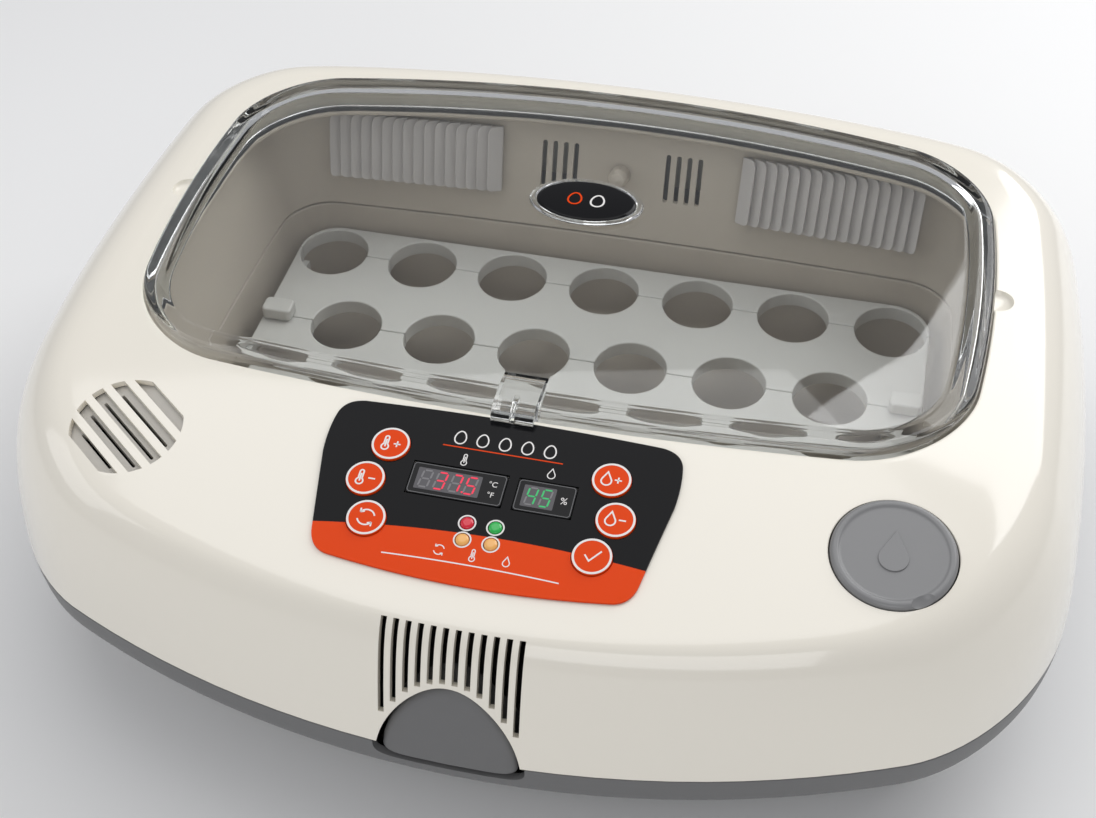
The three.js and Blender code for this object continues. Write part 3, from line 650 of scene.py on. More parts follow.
class Shading:
    """A material's nodes, with short calls to add and join them."""

    def __init__(self, name: str) -> None:
        """Starts an empty material with an output and one shader."""
        self.material = bpy.data.materials.new(name)
        self.material.use_nodes = True
        self.tree = self.material.node_tree
        self.tree.nodes.clear()
        self.output = self.tree.nodes.new("ShaderNodeOutputMaterial")
        self.shader = self.tree.nodes.new("ShaderNodeBsdfPrincipled")
        self.tree.links.new(self.shader.outputs[0], self.output.inputs["Surface"])

    def set(self, **values: float | Color) -> None:
        """Sets the shader's own sockets.

        Args:
            values: A value for each socket, whose name has underscores for its spaces.
        """
        for key, value in values.items():
            socket = self.shader.inputs[key.replace("_", " ").title().replace("Ior", "IOR")]
            socket.default_value = (*value, 1.0) if isinstance(value, tuple) else value

    def group(self, name: str, **values: float | Color) -> bpy.types.Node:
        """Places a shared node group with its own values.

        Args:
            name: The group's name.
            values: A value for each of its inputs.

        Returns:
            The group's node.
        """
        node = self.tree.nodes.new("ShaderNodeGroup")
        node.node_tree = GROUPS[name]()
        for key, value in values.items():
            socket = node.inputs[key.replace("_", " ").title()]
            socket.default_value = (*value, 1.0) if isinstance(value, tuple) else value
        return node

    def join(self, source: bpy.types.NodeSocket, target: str) -> None:
        """Joins a socket to one of the shader's."""
        self.tree.links.new(source, self.shader.inputs[target])

    def relief(self, height: bpy.types.NodeSocket, depth: float) -> None:
        """Turns a height into relief.

        Args:
            height: The height's socket, from 0 to 1.
            depth: How deep the relief is, in millimetres.
        """
        bump = self.tree.nodes.new("ShaderNodeBump")
        bump.inputs["Distance"].default_value = depth * MM
        bump.inputs["Strength"].default_value = 1.0
        self.tree.links.new(height, bump.inputs["Height"])
        self.join(bump.outputs["Normal"], "Normal")


class GroupMaker:
    """Makes one shared node group, once."""

    def __init__(self, name: str, inputs: dict[str, float | Color], outputs: dict[str, str]) -> None:
        """Starts a group.

        Args:
            name: The group's name.
            inputs: Names and default values; a tuple makes a colour socket.
            outputs: Names and socket types.
        """
        self.tree = bpy.data.node_groups.new(name, "ShaderNodeTree")
        for key, value in inputs.items():
            kind = "NodeSocketColor" if isinstance(value, tuple) else "NodeSocketFloat"
            socket = self.tree.interface.new_socket(name=key, in_out="INPUT", socket_type=kind)
            socket.default_value = (*value, 1.0) if isinstance(value, tuple) else value
        for key, kind in outputs.items():
            self.tree.interface.new_socket(name=key, in_out="OUTPUT", socket_type=kind)
        self.start = self.tree.nodes.new("NodeGroupInput")
        self.end = self.tree.nodes.new("NodeGroupOutput")

    def node(self, kind: str, **values: object) -> bpy.types.Node:
        """Adds a node.

        Args:
            kind: The node's type.
            values: A value for each property to set.

        Returns:
            The node.
        """
        made = self.tree.nodes.new(kind)
        for key, value in values.items():
            setattr(made, key, value)
        return made

    def join(self, source: bpy.types.NodeSocket, target: bpy.types.NodeSocket) -> None:
        """Joins two sockets."""
        self.tree.links.new(source, target)

    def math(self, operation: str, a: Value, b: Value = 0.0) -> bpy.types.NodeSocket:
        """One sum on two values, each a socket or a number."""
        return arithmetic(self.tree, operation, a, b)

    def noise(self, scale: Value, detail: float) -> bpy.types.NodeSocket:
        """Soft noise over the object's own coordinates.

        Args:
            scale: How fine it is, a socket or a number.
            detail: How many finer layers it holds.

        Returns:
            The noise's socket.
        """
        place = self.node("ShaderNodeTexCoord")
        node = self.node("ShaderNodeTexNoise")
        node.inputs["Detail"].default_value = detail
        self.join(place.outputs["Object"], node.inputs["Vector"])
        if isinstance(scale, (int, float)):
            node.inputs["Scale"].default_value = scale
        else:
            self.join(scale, node.inputs["Scale"])
        return node.outputs["Fac"]


def mould_grain_group() -> bpy.types.NodeTree:
    """The fine grain that a mould leaves, as a height and a varied roughness."""
    name = "mould_grain"
    if name in bpy.data.node_groups:
        return bpy.data.node_groups[name]
    inputs = {"Scale": 900.0, "Roughness": 0.4, "Spread": 0.08}
    outputs = {"Height": "NodeSocketFloat", "Roughness": "NodeSocketFloat"}
    maker = GroupMaker(name, inputs, outputs)
    fine = maker.noise(maker.start.outputs["Scale"], 4.0)
    broad = maker.noise(14.0, 5.0)
    swing = maker.math("MULTIPLY", maker.math("SUBTRACT", broad, 0.5), maker.start.outputs["Spread"])
    small = maker.math("MULTIPLY", maker.math("SUBTRACT", fine, 0.5), maker.start.outputs["Spread"])
    rough = maker.math("ADD", maker.math("ADD", maker.start.outputs["Roughness"], swing), small)
    maker.join(fine, maker.end.inputs["Height"])
    maker.join(rough, maker.end.inputs["Roughness"])
    return maker.tree


def settled_tone_group() -> bpy.types.NodeTree:
    """A colour that drifts a little over the piece, with faint dust on faces that look up."""
    name = "settled_tone"
    if name in bpy.data.node_groups:
        return bpy.data.node_groups[name]
    inputs = {"Color": (0.8, 0.8, 0.8), "Drift": 0.05, "Dust": 0.05}
    maker = GroupMaker(name, inputs, {"Color": "NodeSocketColor"})
    broad = maker.noise(9.0, 4.0)
    shade = maker.math("MULTIPLY", broad, maker.start.outputs["Drift"])
    darker = maker.node("ShaderNodeMix", data_type="RGBA", blend_type="MULTIPLY")
    maker.join(shade, darker.inputs["Factor"])
    maker.join(maker.start.outputs["Color"], darker.inputs["A"])
    darker.inputs["B"].default_value = (0.72, 0.70, 0.66, 1.0)
    facing = maker.node("ShaderNodeNewGeometry")
    split = maker.node("ShaderNodeSeparateXYZ")
    maker.join(facing.outputs["Normal"], split.inputs[0])
    up = maker.math("MAXIMUM", split.outputs["Z"], 0.0)
    speck = maker.math("MULTIPLY", maker.math("POWER", maker.noise(120.0, 6.0), 3.0), up)
    amount = maker.math("MULTIPLY", speck, maker.start.outputs["Dust"])
    dusty = maker.node("ShaderNodeMix", data_type="RGBA", blend_type="MIX")
    maker.join(amount, dusty.inputs["Factor"])
    maker.join(darker.outputs["Result"], dusty.inputs["A"])
    dusty.inputs["B"].default_value = (0.62, 0.60, 0.56, 1.0)
    maker.join(dusty.outputs["Result"], maker.end.inputs["Color"])
    return maker.tree


GROUPS: dict[str, Callable[[], bpy.types.NodeTree]] = {
    "mould_grain": mould_grain_group,
    "settled_tone": settled_tone_group,
}


class Coat:
    """A finish that becomes one material."""

    name: str

    def fill(self, shading: Shading) -> None:
        """Sets and joins the material's nodes."""
        raise NotImplementedError

    def material(self) -> bpy.types.Material:
        """The finish as a material, made once."""
        if self.name not in bpy.data.materials:
            self.fill(Shading(self.name))
        return bpy.data.materials[self.name]


@dataclass(frozen=True)
class Moulded(Coat):
    """Injection-moulded plastic or rubber."""

    name: str
    color: Color
    roughness: float
    spread: float = 0.06
    grain: float = 900.0
    depth: float = 0.004
    drift: float = 0.06
    dust: float = 0.05
    coat: float = 0.0
    glow: float = 0.0
    metallic: float = 0.0
    shine: float = 0.5

    def fill(self, shading: Shading) -> None:
        """Sets and joins the material's nodes."""
        shading.set(coat_weight=self.coat, coat_roughness=0.06, metallic=self.metallic,
                    specular_ior_level=self.shine)
        tone = shading.group("settled_tone", color=self.color, drift=self.drift, dust=self.dust)
        grain = shading.group("mould_grain", scale=self.grain, roughness=self.roughness,
                              spread=self.spread)
        shading.join(tone.outputs["Color"], "Base Color")
        shading.join(grain.outputs["Roughness"], "Roughness")
        shading.relief(grain.outputs["Height"], self.depth)
        if self.glow:
            shading.set(emission_strength=self.glow)
            shading.join(tone.outputs["Color"], "Emission Color")


@dataclass(frozen=True)
class Clear(Coat):
    """Clear moulded plastic that lets lamp light through."""

    name: str
    tint: Color
    passed: Color
    roughness: float = 0.02
    bend: float = 1.46

    def fill(self, shading: Shading) -> None:
        """Sets and joins the material's nodes."""
        shading.set(base_color=self.tint, ior=self.bend, transmission_weight=1.0)
        grain = shading.group("mould_grain", scale=60.0, roughness=self.roughness, spread=0.02)
        shading.join(grain.outputs["Roughness"], "Roughness")
        shading.relief(grain.outputs["Height"], 0.006)
        nodes, links = shading.tree.nodes, shading.tree.links
        path = nodes.new("ShaderNodeLightPath")
        through = nodes.new("ShaderNodeBsdfTransparent")
        through.inputs["Color"].default_value = (*self.passed, 1.0)
        mix = nodes.new("ShaderNodeMixShader")
        links.new(path.outputs["Is Shadow Ray"], mix.inputs["Fac"])
        links.new(shading.shader.outputs[0], mix.inputs[1])
        links.new(through.outputs[0], mix.inputs[2])
        links.new(mix.outputs[0], shading.output.inputs["Surface"])


@dataclass(frozen=True)
class PanelPrint(Coat):
    """The glossy panel: black, with an orange band over its lower part."""

    name: str = "panel_print"
    upper: Color = (0.006, 0.006, 0.007)
    lower: Color = (0.80, 0.062, 0.003)
    shine: float = 0.12
    edge_y: float = -125.6
    bow: float = 0.00105
    bow_x: float = 12.0

    def fill(self, shading: Shading) -> None:
        """Sets and joins the material's nodes."""
        shading.set(specular_ior_level=self.shine)
        tree = shading.tree
        nodes, links = tree.nodes, tree.links
        place = nodes.new("ShaderNodeTexCoord")
        split = nodes.new("ShaderNodeSeparateXYZ")
        links.new(place.outputs["Object"], split.inputs[0])
        x, y = (arithmetic(tree, "DIVIDE", split.outputs[axis], MM) for axis in "XY")
        across = arithmetic(tree, "SUBTRACT", x, self.bow_x)
        bowed = arithmetic(tree, "MULTIPLY", arithmetic(tree, "POWER", across, 2.0), self.bow)
        boundary = arithmetic(tree, "SUBTRACT", self.edge_y, bowed)
        below = arithmetic(tree, "SUBTRACT", boundary, y)
        mask = arithmetic(tree, "GREATER_THAN", below)
        paint = nodes.new("ShaderNodeMix")
        paint.data_type = "RGBA"
        links.new(mask, paint.inputs["Factor"])
        paint.inputs["A"].default_value = (*self.upper, 1.0)
        paint.inputs["B"].default_value = (*self.lower, 1.0)
        shading.join(paint.outputs["Result"], "Base Color")
        grain = shading.group("mould_grain", scale=260.0, roughness=0.14, spread=0.05)
        shading.join(grain.outputs["Roughness"], "Roughness")
        shading.relief(grain.outputs["Height"], 0.002)


@dataclass(frozen=True)
class Felt(Coat):
    """Absorbent felt with loose fibres."""

    name: str
    color: Color

    def fill(self, shading: Shading) -> None:
        """Sets and joins the material's nodes."""
        shading.set(sheen_weight=0.4, sheen_roughness=0.5)
        tone = shading.group("settled_tone", color=self.color, drift=0.5, dust=0.0)
        grain = shading.group("mould_grain", scale=1400.0, roughness=0.92, spread=0.1)
        shading.join(tone.outputs["Color"], "Base Color")
        shading.join(grain.outputs["Roughness"], "Roughness")
        shading.relief(grain.outputs["Height"], 0.4)


class Finish(Enum):
    """Every finish on the incubator."""

    SHELL = Moulded("cream_gloss", (0.91, 0.865, 0.765), 0.13, 0.04, 700, 0.0012, 0.04, 0.02, 0.55)
    BASE = Moulded("base_satin", (0.155, 0.155, 0.157), 0.42, 0.1, 1500, 0.012, 0.15, 0.12)
    LINER = Moulded("liner_satin", (0.475, 0.42, 0.355), 0.38, 0.08, 1300, 0.008, 0.08, 0.03)
    LOUVRE = Moulded("louvre_satin", (0.50, 0.47, 0.455), 0.36, 0.06, 1300, 0.006, 0.06, 0.03)
    TRAY = Moulded("tray_satin", (0.56, 0.545, 0.515), 0.33, 0.08, 1200, 0.006, 0.07, 0.08)
    DISC = Moulded("disc_satin", (0.68, 0.66, 0.62), 0.4, 0.06, 1300, 0.006, 0.06, 0.03)
    CAP = Moulded("cap_satin", (0.235, 0.235, 0.238), 0.30, 0.08, 1300, 0.008, 0.06, 0.03)
    RUBBER = Moulded("rubber_matt", (0.022, 0.022, 0.024), 0.72, 0.1, 900, 0.03, 0.2, 0.3)
    BLACK = Moulded("black_satin", (0.016, 0.016, 0.017), 0.38, 0.1, 1200, 0.01, 0.2, 0.1)
    GLOSS_BLACK = Moulded("black_gloss", (0.005, 0.005, 0.006), 0.12, 0.05, 500, 0.001, 0.1, 0.0, shine=0.2)
    NYLON = Moulded("nylon_natural", (0.74, 0.71, 0.63), 0.42, 0.08, 900, 0.01, 0.1, 0.08)
    STEEL = Moulded("plated_steel", (0.50, 0.51, 0.52), 0.30, 0.14, 1800, 0.004, 0.15, 0.05, metallic=1.0)
    BOARD = Moulded("board_lacquer", (0.012, 0.09, 0.035), 0.30, 0.1, 700, 0.01, 0.2, 0.1)
    ORANGE = Moulded("orange_gloss", (0.80, 0.062, 0.003), 0.3, 0.06, 900, 0.002, 0.05, 0.0, shine=0.12)
    WHITE = Moulded("print_white", (0.86, 0.84, 0.82), 0.4, 0.06, 900, 0.0, 0.06, 0.0)
    GREY_PRINT = Moulded("print_grey", (0.12, 0.12, 0.125), 0.3, 0.06, 900, 0.0, 0.06, 0.0)
    DISPLAY = Moulded("display_grey", (0.115, 0.112, 0.12), 0.2, 0.05, 600, 0.001, 0.08, 0.0, shine=0.2)
    UNLIT = Moulded("segment_unlit", (0.19, 0.185, 0.195), 0.3, 0.05, 900, 0.0, 0.05, 0.0)
    RED_LIGHT = Moulded("segment_red", (0.80, 0.015, 0.06), 0.3, 0.04, 900, 0.0, 0.05, 0.0, glow=0.35)
    GREEN_LIGHT = Moulded("segment_green", (0.02, 0.42, 0.12), 0.3, 0.04, 900, 0.0, 0.05, 0.0, glow=0.3)
    LAMP_RED = Moulded("red_dome", (0.62, 0.008, 0.03), 0.16, 0.05, 900, 0.001, 0.05, 0.01, 0.5, 0.12)
    LAMP_GREEN = Moulded("green_dome", (0.015, 0.42, 0.07), 0.16, 0.05, 900, 0.001, 0.05, 0.01, 0.5, 0.12)
    LAMP_AMBER = Moulded("amber_dome", (0.88, 0.45, 0.12), 0.16, 0.05, 900, 0.001, 0.05, 0.01, 0.5, 0.05)
    WINDOW = Clear("acrylic_clear", (0.93, 0.945, 0.945), (0.90, 0.92, 0.92))
    TANK = Clear("styrene_clear", (0.86, 0.90, 0.91), (0.75, 0.8, 0.8), 0.18)
    PANEL = PanelPrint()
    FELT = Felt("fibre_felt", (0.66, 0.62, 0.50))


# ---------------------------------------------------------------- sub-assemblies


@dataclass
class SubAssembly:
    """A group of pieces that are built together."""

    body: str = "lid"

    def fit(self, piece: bpy.types.Object, finish: Finish, slot: str, *nodes: str,
            body: str | None = None) -> bpy.types.Object:
        """Dresses a piece, rides it on its body and lets it stand for CAD nodes.

        Args:
            piece: The piece.
            finish: Its finish.
            slot: The record's material slot that the finish answers to; not used.
            nodes: The CAD nodes that the piece stands for.
            body: The CAD body that it rides on, where it isn't the sub-assembly's own.

        Returns:
            The same piece.
        """
        piece.data.materials.clear()
        piece.data.materials.append(finish.value.material())
        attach(piece, body or self.body)
        if nodes:
            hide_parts(*nodes)
        LOG.info("%s rides on %s", piece.name, body or self.body)
        return piece

    def dress(self, node: str, finish: Finish) -> None:
        """Gives a CAD node that stays in view its finish."""
        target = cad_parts[node]
        target.data.materials.clear()
        target.data.materials.append(finish.value.material())
        smooth(target, 30)
        LOG.info("%s is dressed as %s", node, finish.name.lower())


@dataclass
class LidShell(SubAssembly):
    """The glossy lid with its arch, its slots and its ports."""

    form: LidForm = field(default_factory=LidForm)
    arch_half: float = 29.0
    arch_foot: float = 66.0
    arch_top: float = 105.5
    slot_count: int = 12
    slot_pitch: float = 4.76
    slot_width: float = 2.3
    slot_low: float = 88.0
    slot_top: float = 127.5
    slot_over_arch: float = 3.0
    port_r: float = 23.0
    vent_at: tuple[float, float] = (-151.7, -103.0)
    vent_tilt: float = -37.0
    vent_pitch: float = 8.6
    vent_half: float = 2.6
    cap_at: tuple[float, float] = (151.7, -103.0)
    notch_at: tuple[float, float] = (182.5, 38.5)
    notch_r: float = 6.5
    display_hole: tuple[float, ...] = (-33, 33, -131.5, -97, 120, 141.8)

    def arch(self, inset: float, steps: int = 48) -> list[list[float]]:
        """The arch's outline in XZ.

        Args:
            inset: How much it is shrunk.
            steps: Steps along it.

        Returns:
            The outline's points, from right to left.
        """
        turns = np.linspace(0, math.pi, steps + 1)
        waist = 1 - 0.16 * np.sin(turns) ** 2
        x = (self.arch_half - inset) * np.cos(turns) * waist
        z = self.arch_foot + (self.arch_top - inset - self.arch_foot) * np.sin(turns)
        return np.column_stack([x, z]).tolist()

    def solid(self, inset: float, seam: float) -> Solid:
        """The lid's outer form as a solid block.

        Args:
            inset: How far inside the outer surface.
            seam: The level of its lower edge.

        Returns:
            The closed form.
        """
        rise = np.radians(np.linspace(0, 90, 19))
        rings = [self.form.wall(a, inset, seam) for a in rise]
        rings += [self.form.top(share, inset) for share in (0.5, 1.0)]
        middle = np.array([0, PLAN_CENTRE, CROWN.level - inset])
        return lofted(rings, hubs=(None, middle))

    def skin(self) -> Solid:
        """The shell before its holes are cut, with rounded lips.

        Returns:
            The closed form.
        """
        foot = SEAM + GAP
        rise = np.radians([0, 3, 8, 13, 18, 23, 28, 33, 38, 43, 48, 53, 58, 63, 68, 73, 78, 84, 90])
        outside = [self.form.wall(a, 0, foot) for a in rise]
        crown = [self.form.top(share, 0) for share in (0.15, 0.3, 0.45, 0.6, 0.75, 0.9, 1.0)]
        under = [self.form.top(share, WALL) for share in (1.0, 0.8, 0.5, 0.2)]
        inside = [self.form.wall(a, WALL, foot) for a in rise[::-2]]
        rings = [*outside, *crown, *under, *inside]
        radii = [0.0] * len(rings)
        radii[0] = radii[-1] = 0.6
        radii[len(outside) + len(crown) - 1] = 1.1
        radii[len(outside) + len(crown)] = 0.6
        return lofted(filleted(rings, radii, True, 3), closed=True)

    def front_slots(self) -> list[Solid]:
        """The upright slots over the arch, each run out to nothing at its top.

        Returns:
            One cutting form for each slot.
        """
        slots = []
        rise = self.arch_top - self.arch_foot
        for k in range(self.slot_count):
            x = (k - (self.slot_count - 1) / 2) * self.slot_pitch
            side = max(0.0, 1 - (x / (self.arch_half - 1)) ** 2)
            low = max(self.slot_low, self.arch_foot + rise * math.sqrt(side) + self.slot_over_arch)
            top = self.slot_top
            outline = [(-200, low + 9), (-140, low - 14), (-140, top - 17), (-148, top - 9),
                       (-157.4, top), (-200, top)]
            slots.append(prism(outline, -self.slot_width / 2, self.slot_width / 2)
                         .moved(STANDING_YZ).moved(Matrix.Translation((x, 0, 0))))
        return slots

    def vent_slots(self) -> list[Solid]:
        """Five slanted slots in a circle, leaving four bars.

        Returns:
            One cutting form for each slot.
        """
        tilt = Matrix.Rotation(math.radians(self.vent_tilt), 4, "Z")
        place = CROWN.place(*self.vent_at) @ tilt
        slots = []
        for k in range(-2, 3):
            low, high = k * self.vent_pitch - self.vent_half, k * self.vent_pitch + self.vent_half
            ends = [np.array([side * math.sqrt(self.port_r ** 2 - y ** 2), y])
                    for side in (1, -1) for y in np.linspace(low, high, 9)[::side]]
            slots.append(prism(ends, -12, 6).moved(place))
        return slots

    def build(self) -> None:
        """Builds the shell and cuts its holes."""
        piece = self.skin().piece("lid_shell_skin")
        bore, mouth = self.port_r + 0.9, self.port_r + 1.5
        cap = turned([[0, -12], [bore, -12], [bore, -0.35], [mouth, 0.3], [mouth, 6], [0, 6]], 72)
        dish = turned([[0, -2.5], [self.notch_r, -2.5], [self.notch_r + 0.5, 4], [0, 4]], 48, 2.6)
        tools = [prism(self.arch(0), 150, 200).moved(STANDING_XZ), cap.moved(CROWN.place(*self.cap_at))]
        tools += self.front_slots() + self.vent_slots()
        tools += [rod(key.radius + 0.4, -8, 6, 40).moved(CROWN.place(*key.at)) for key in KEYS]
        tools += [dish.moved(Matrix.Translation((side * self.notch_at[0], self.notch_at[1], CROWN.level)))
                  for side in (1, -1)]
        tools += [block(*self.display_hole), PowerInlet().hole()]
        carve(piece, tools)
        self.fit(smooth(piece, 38, True), Finish.SHELL, "cream_shell", "lid_shell")


@dataclass
class FrontCatch(SubAssembly):
    """The catch that fills the arch, with a narrow dark gap all round."""

    body: str = "catch"
    inset: float = 1.8
    corner_r: float = 8.0
    edge: float = 2.6
    depth: float = 9.0
    back_limit: float = -172.0

    def build(self) -> None:
        """Builds the catch as rings that follow the lid's outer form."""
        lid = LidShell()
        form = lid.solid(0, lid.arch_foot)
        tree = BVHTree.FromPolygons(form.points.tolist(), form.faces)
        outline = self.outline(lid)
        middle = np.array([0.0, (lid.arch_foot + lid.arch_top) / 2 - 3])
        rings = []
        for share in (1.0, 0.995, 0.985, 0.97, 0.95, 0.92, 0.88, 0.8, 0.65, 0.45, 0.25):
            flat = middle + (outline - middle) * share
            rings.append(self.draped(flat, tree, self.rounding((1 - share) * 19)))
        inner = rings[0].copy()
        inner[:, 1] = np.maximum(inner[:, 1] + 1, self.back_limit) + self.depth
        hub_back = np.array([middle[0], inner[:, 1].mean(), middle[1]])
        hub_front = self.draped(middle[None, :], tree, 0.0)[0]
        piece = lofted([inner, *rings], hubs=(hub_back, hub_front)).piece("front_catch_block")
        self.fit(smooth(piece, 60), Finish.BASE, "base_grey", "front_catch")

    def outline(self, lid: LidShell) -> np.ndarray:
        """The catch's outline in XZ: the arch, closed below with rounded corners.

        Args:
            lid: The lid shell that the catch stands in.

        Returns:
            The outline's points, evenly spaced along the foot.
        """
        upper = [point for point in lid.arch(self.inset, 90)[::-1]
                 if point[1] > lid.arch_foot + self.corner_r]
        left, right = np.array(upper[0]), np.array(upper[-1])
        foot = lid.arch_foot
        corners = [right, np.array([lid.arch_half - self.inset, foot]),
                   np.array([self.inset - lid.arch_half, foot]), left]
        low = filleted(corners, [0, self.corner_r, self.corner_r, 0], False, 10)[1:-1]
        middle = len(low) // 2
        span = np.linspace(low[middle - 1][0], low[middle][0], 30)[1:-1]
        flat = np.column_stack([span, np.full(len(span), foot)])
        return np.vstack([np.array(upper), np.array(low[:middle]), flat, np.array(low[middle:])])

    def rounding(self, inside: float) -> float:
        """How far the surface falls back at a distance from the edge."""
        left = max(0.0, self.edge - inside)
        return self.edge - math.sqrt(max(0.0, self.edge ** 2 - left ** 2))

    @staticmethod
    def draped(flat: np.ndarray, tree: BVHTree, back: float) -> np.ndarray:
        """Places flat points on the lid's outer form.

        Args:
            flat: The points in XZ.
            tree: The form to place them on.
            back: How far they are set back from it.

        Returns:
            The points in XYZ.
        """
        placed = []
        for x, z in flat:
            hit = tree.ray_cast(Vector((x, -300, max(z, 66.05))), Vector((0, 1, 0)))[0]
            y = hit.y if hit else -180.0
            placed.append((x, y + 0.25 + back, z))
        return np.array(placed)


@dataclass
class BaseBowl(SubAssembly):
    """The dark bowl, its feet, the water pan in it and what stands in the pan."""

    body: str = "base"
    foot_h: float = 8.0
    bowl: tuple[tuple[float, float], ...] = (
        (73, 0), (65, 0.4), (58, 1.8), (52, 7), (46, 14), (36, 23.5), (24, 30.5), (8, 36))
    notch_half: float = 30.0
    notch_low: float = 64.6
    notch_corner: float = 9.0

    def build(self) -> None:
        """Builds every piece of the base."""
        line = curve_through(self.bowl, 3)
        outside = [BODY.ring(SHELL_AROUND, -inset, z) for z, inset in line[::-1]]
        inside = [BODY.ring(SHELL_AROUND, -inset - WALL, z) for z, inset in line[::2]]
        floor = BODY.ring(SHELL_AROUND, -self.bowl[-1][1] - WALL - 4, self.foot_h + WALL)
        rings = [*outside, *inside[:-1], floor]
        radii = [0.0] * len(rings)
        radii[0] = 1.5
        radii[len(outside) - 1] = radii[len(outside)] = 0.6
        middle = np.array([0, PLAN_CENTRE, 0.0])
        solid = lofted(filleted(rings, radii, False), hubs=(
            middle + (0, 0, self.foot_h), middle + (0, 0, self.foot_h + WALL)))
        piece = carve(solid.piece("base_bowl"), [self.catch_notch()])
        self.fit(smooth(piece, 35, True), Finish.BASE, "base_grey", "base_shell")
        self.build_pan()
        self.build_feet()
        self.build_pad()
        for node, finish in (("tray_fork_left", Finish.LINER), ("tray_fork_right", Finish.LINER),
                             ("turner_motor", Finish.STEEL), ("drive_pinion", Finish.NYLON),
                             ("base_connector", Finish.BLACK)):
            self.dress(node, finish)

    def catch_notch(self) -> Solid:
        """The rounded notch in the bowl's rim under the catch.

        Returns:
            The cutting form.
        """
        half, low, top = self.notch_half, self.notch_low, SEAM + 5
        corners = [np.array(corner, float)
                   for corner in ((-half, top), (-half, low), (half, low), (half, top))]
        outline = filleted(corners, [0, self.notch_corner, self.notch_corner, 0], True, 10)
        return prism(outline, 150, 200).moved(STANDING_XZ)

    def build_pan(self) -> None:
        """Builds the water pan under the tray."""
        rings = [CHAMBER_FOOT.ring(CHAMBER_AROUND, grow, z) for grow, z in (
            (-2.5, PAN_FLOOR - 2.5), (2.5, SEAM - 3.5), (7, SEAM - 3.5), (7, SEAM - 1), (0, SEAM - 1),
            (-5, PAN_FLOOR))]
        rings = filleted(rings, [2, 1, 0.5, 0.8, 1, 2], False, 4)
        inner = CHAMBER_FOOT.ring(CHAMBER_AROUND, -9, PAN_FLOOR)
        rings = filleted([*rings, inner], [0] * (len(rings) - 1) + [4, 0], False, 4)
        middle = np.array([0, PLAN_CENTRE, 0.0])
        solid = lofted(rings, hubs=(middle + (0, 0, PAN_FLOOR - 2.5), middle + (0, 0, PAN_FLOOR)))
        low, high = (Vector(corner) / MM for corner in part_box("drive_pinion"))
        piece = solid.piece("water_pan")
        turn = axes((0, 1, 0), (0, 0, 1), (1, 0, 0), (0, (low.y + high.y) / 2, (low.z + high.z) / 2))
        carve(piece, [rod(3.4, 150, 190, 32).moved(turn)])
        self.fit(smooth(piece, 40, True), Finish.LINER, "liner_grey", "chamber_pan")

    def build_feet(self) -> None:
        """Builds the four rubber feet."""
        for node in ("foot_front_left", "foot_front_right", "foot_back_left", "foot_back_right"):
            low, high = (Vector(corner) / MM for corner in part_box(node))
            foot = turned([[0, 0.9], [5, 0.9], [6, 0], [9, 0], [11, 2], [11, high.z], [0, high.z]], 64, 0.8)
            place = Matrix.Translation(((low.x + high.x) / 2, (low.y + high.y) / 2, 0))
            self.fit(smooth(foot.moved(place).piece(f"{node}_pad"), 40), Finish.RUBBER, "rubber", node)

    def build_pad(self) -> None:
        """Builds the pleated felt pad that stands in the pan's water."""
        low, high = (Vector(corner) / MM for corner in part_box("evaporation_pad"))
        middle, half = (low.y + high.y) / 2, (high.y - low.y) / 2
        steps = 116
        x = np.linspace(low.x, high.x, steps + 1)
        wave = middle + (half - 1.6) * np.sin(np.linspace(0, 22 * math.pi, steps + 1))
        line = np.column_stack([x, wave])
        side = np.gradient(line, axis=0)
        normal = np.column_stack([-side[:, 1], side[:, 0]]) / np.hypot(*side.T)[:, None]
        outline = np.vstack([line + normal * 1.1, (line - normal * 1.1)[::-1]])
        outline[:, 0] = np.clip(outline[:, 0], low.x, high.x)
        piece = prism(outline, low.z, high.z).piece("evaporation_pleats")
        self.fit(smooth(piece, 50), Finish.FELT, "pad_felt", "evaporation_pad")


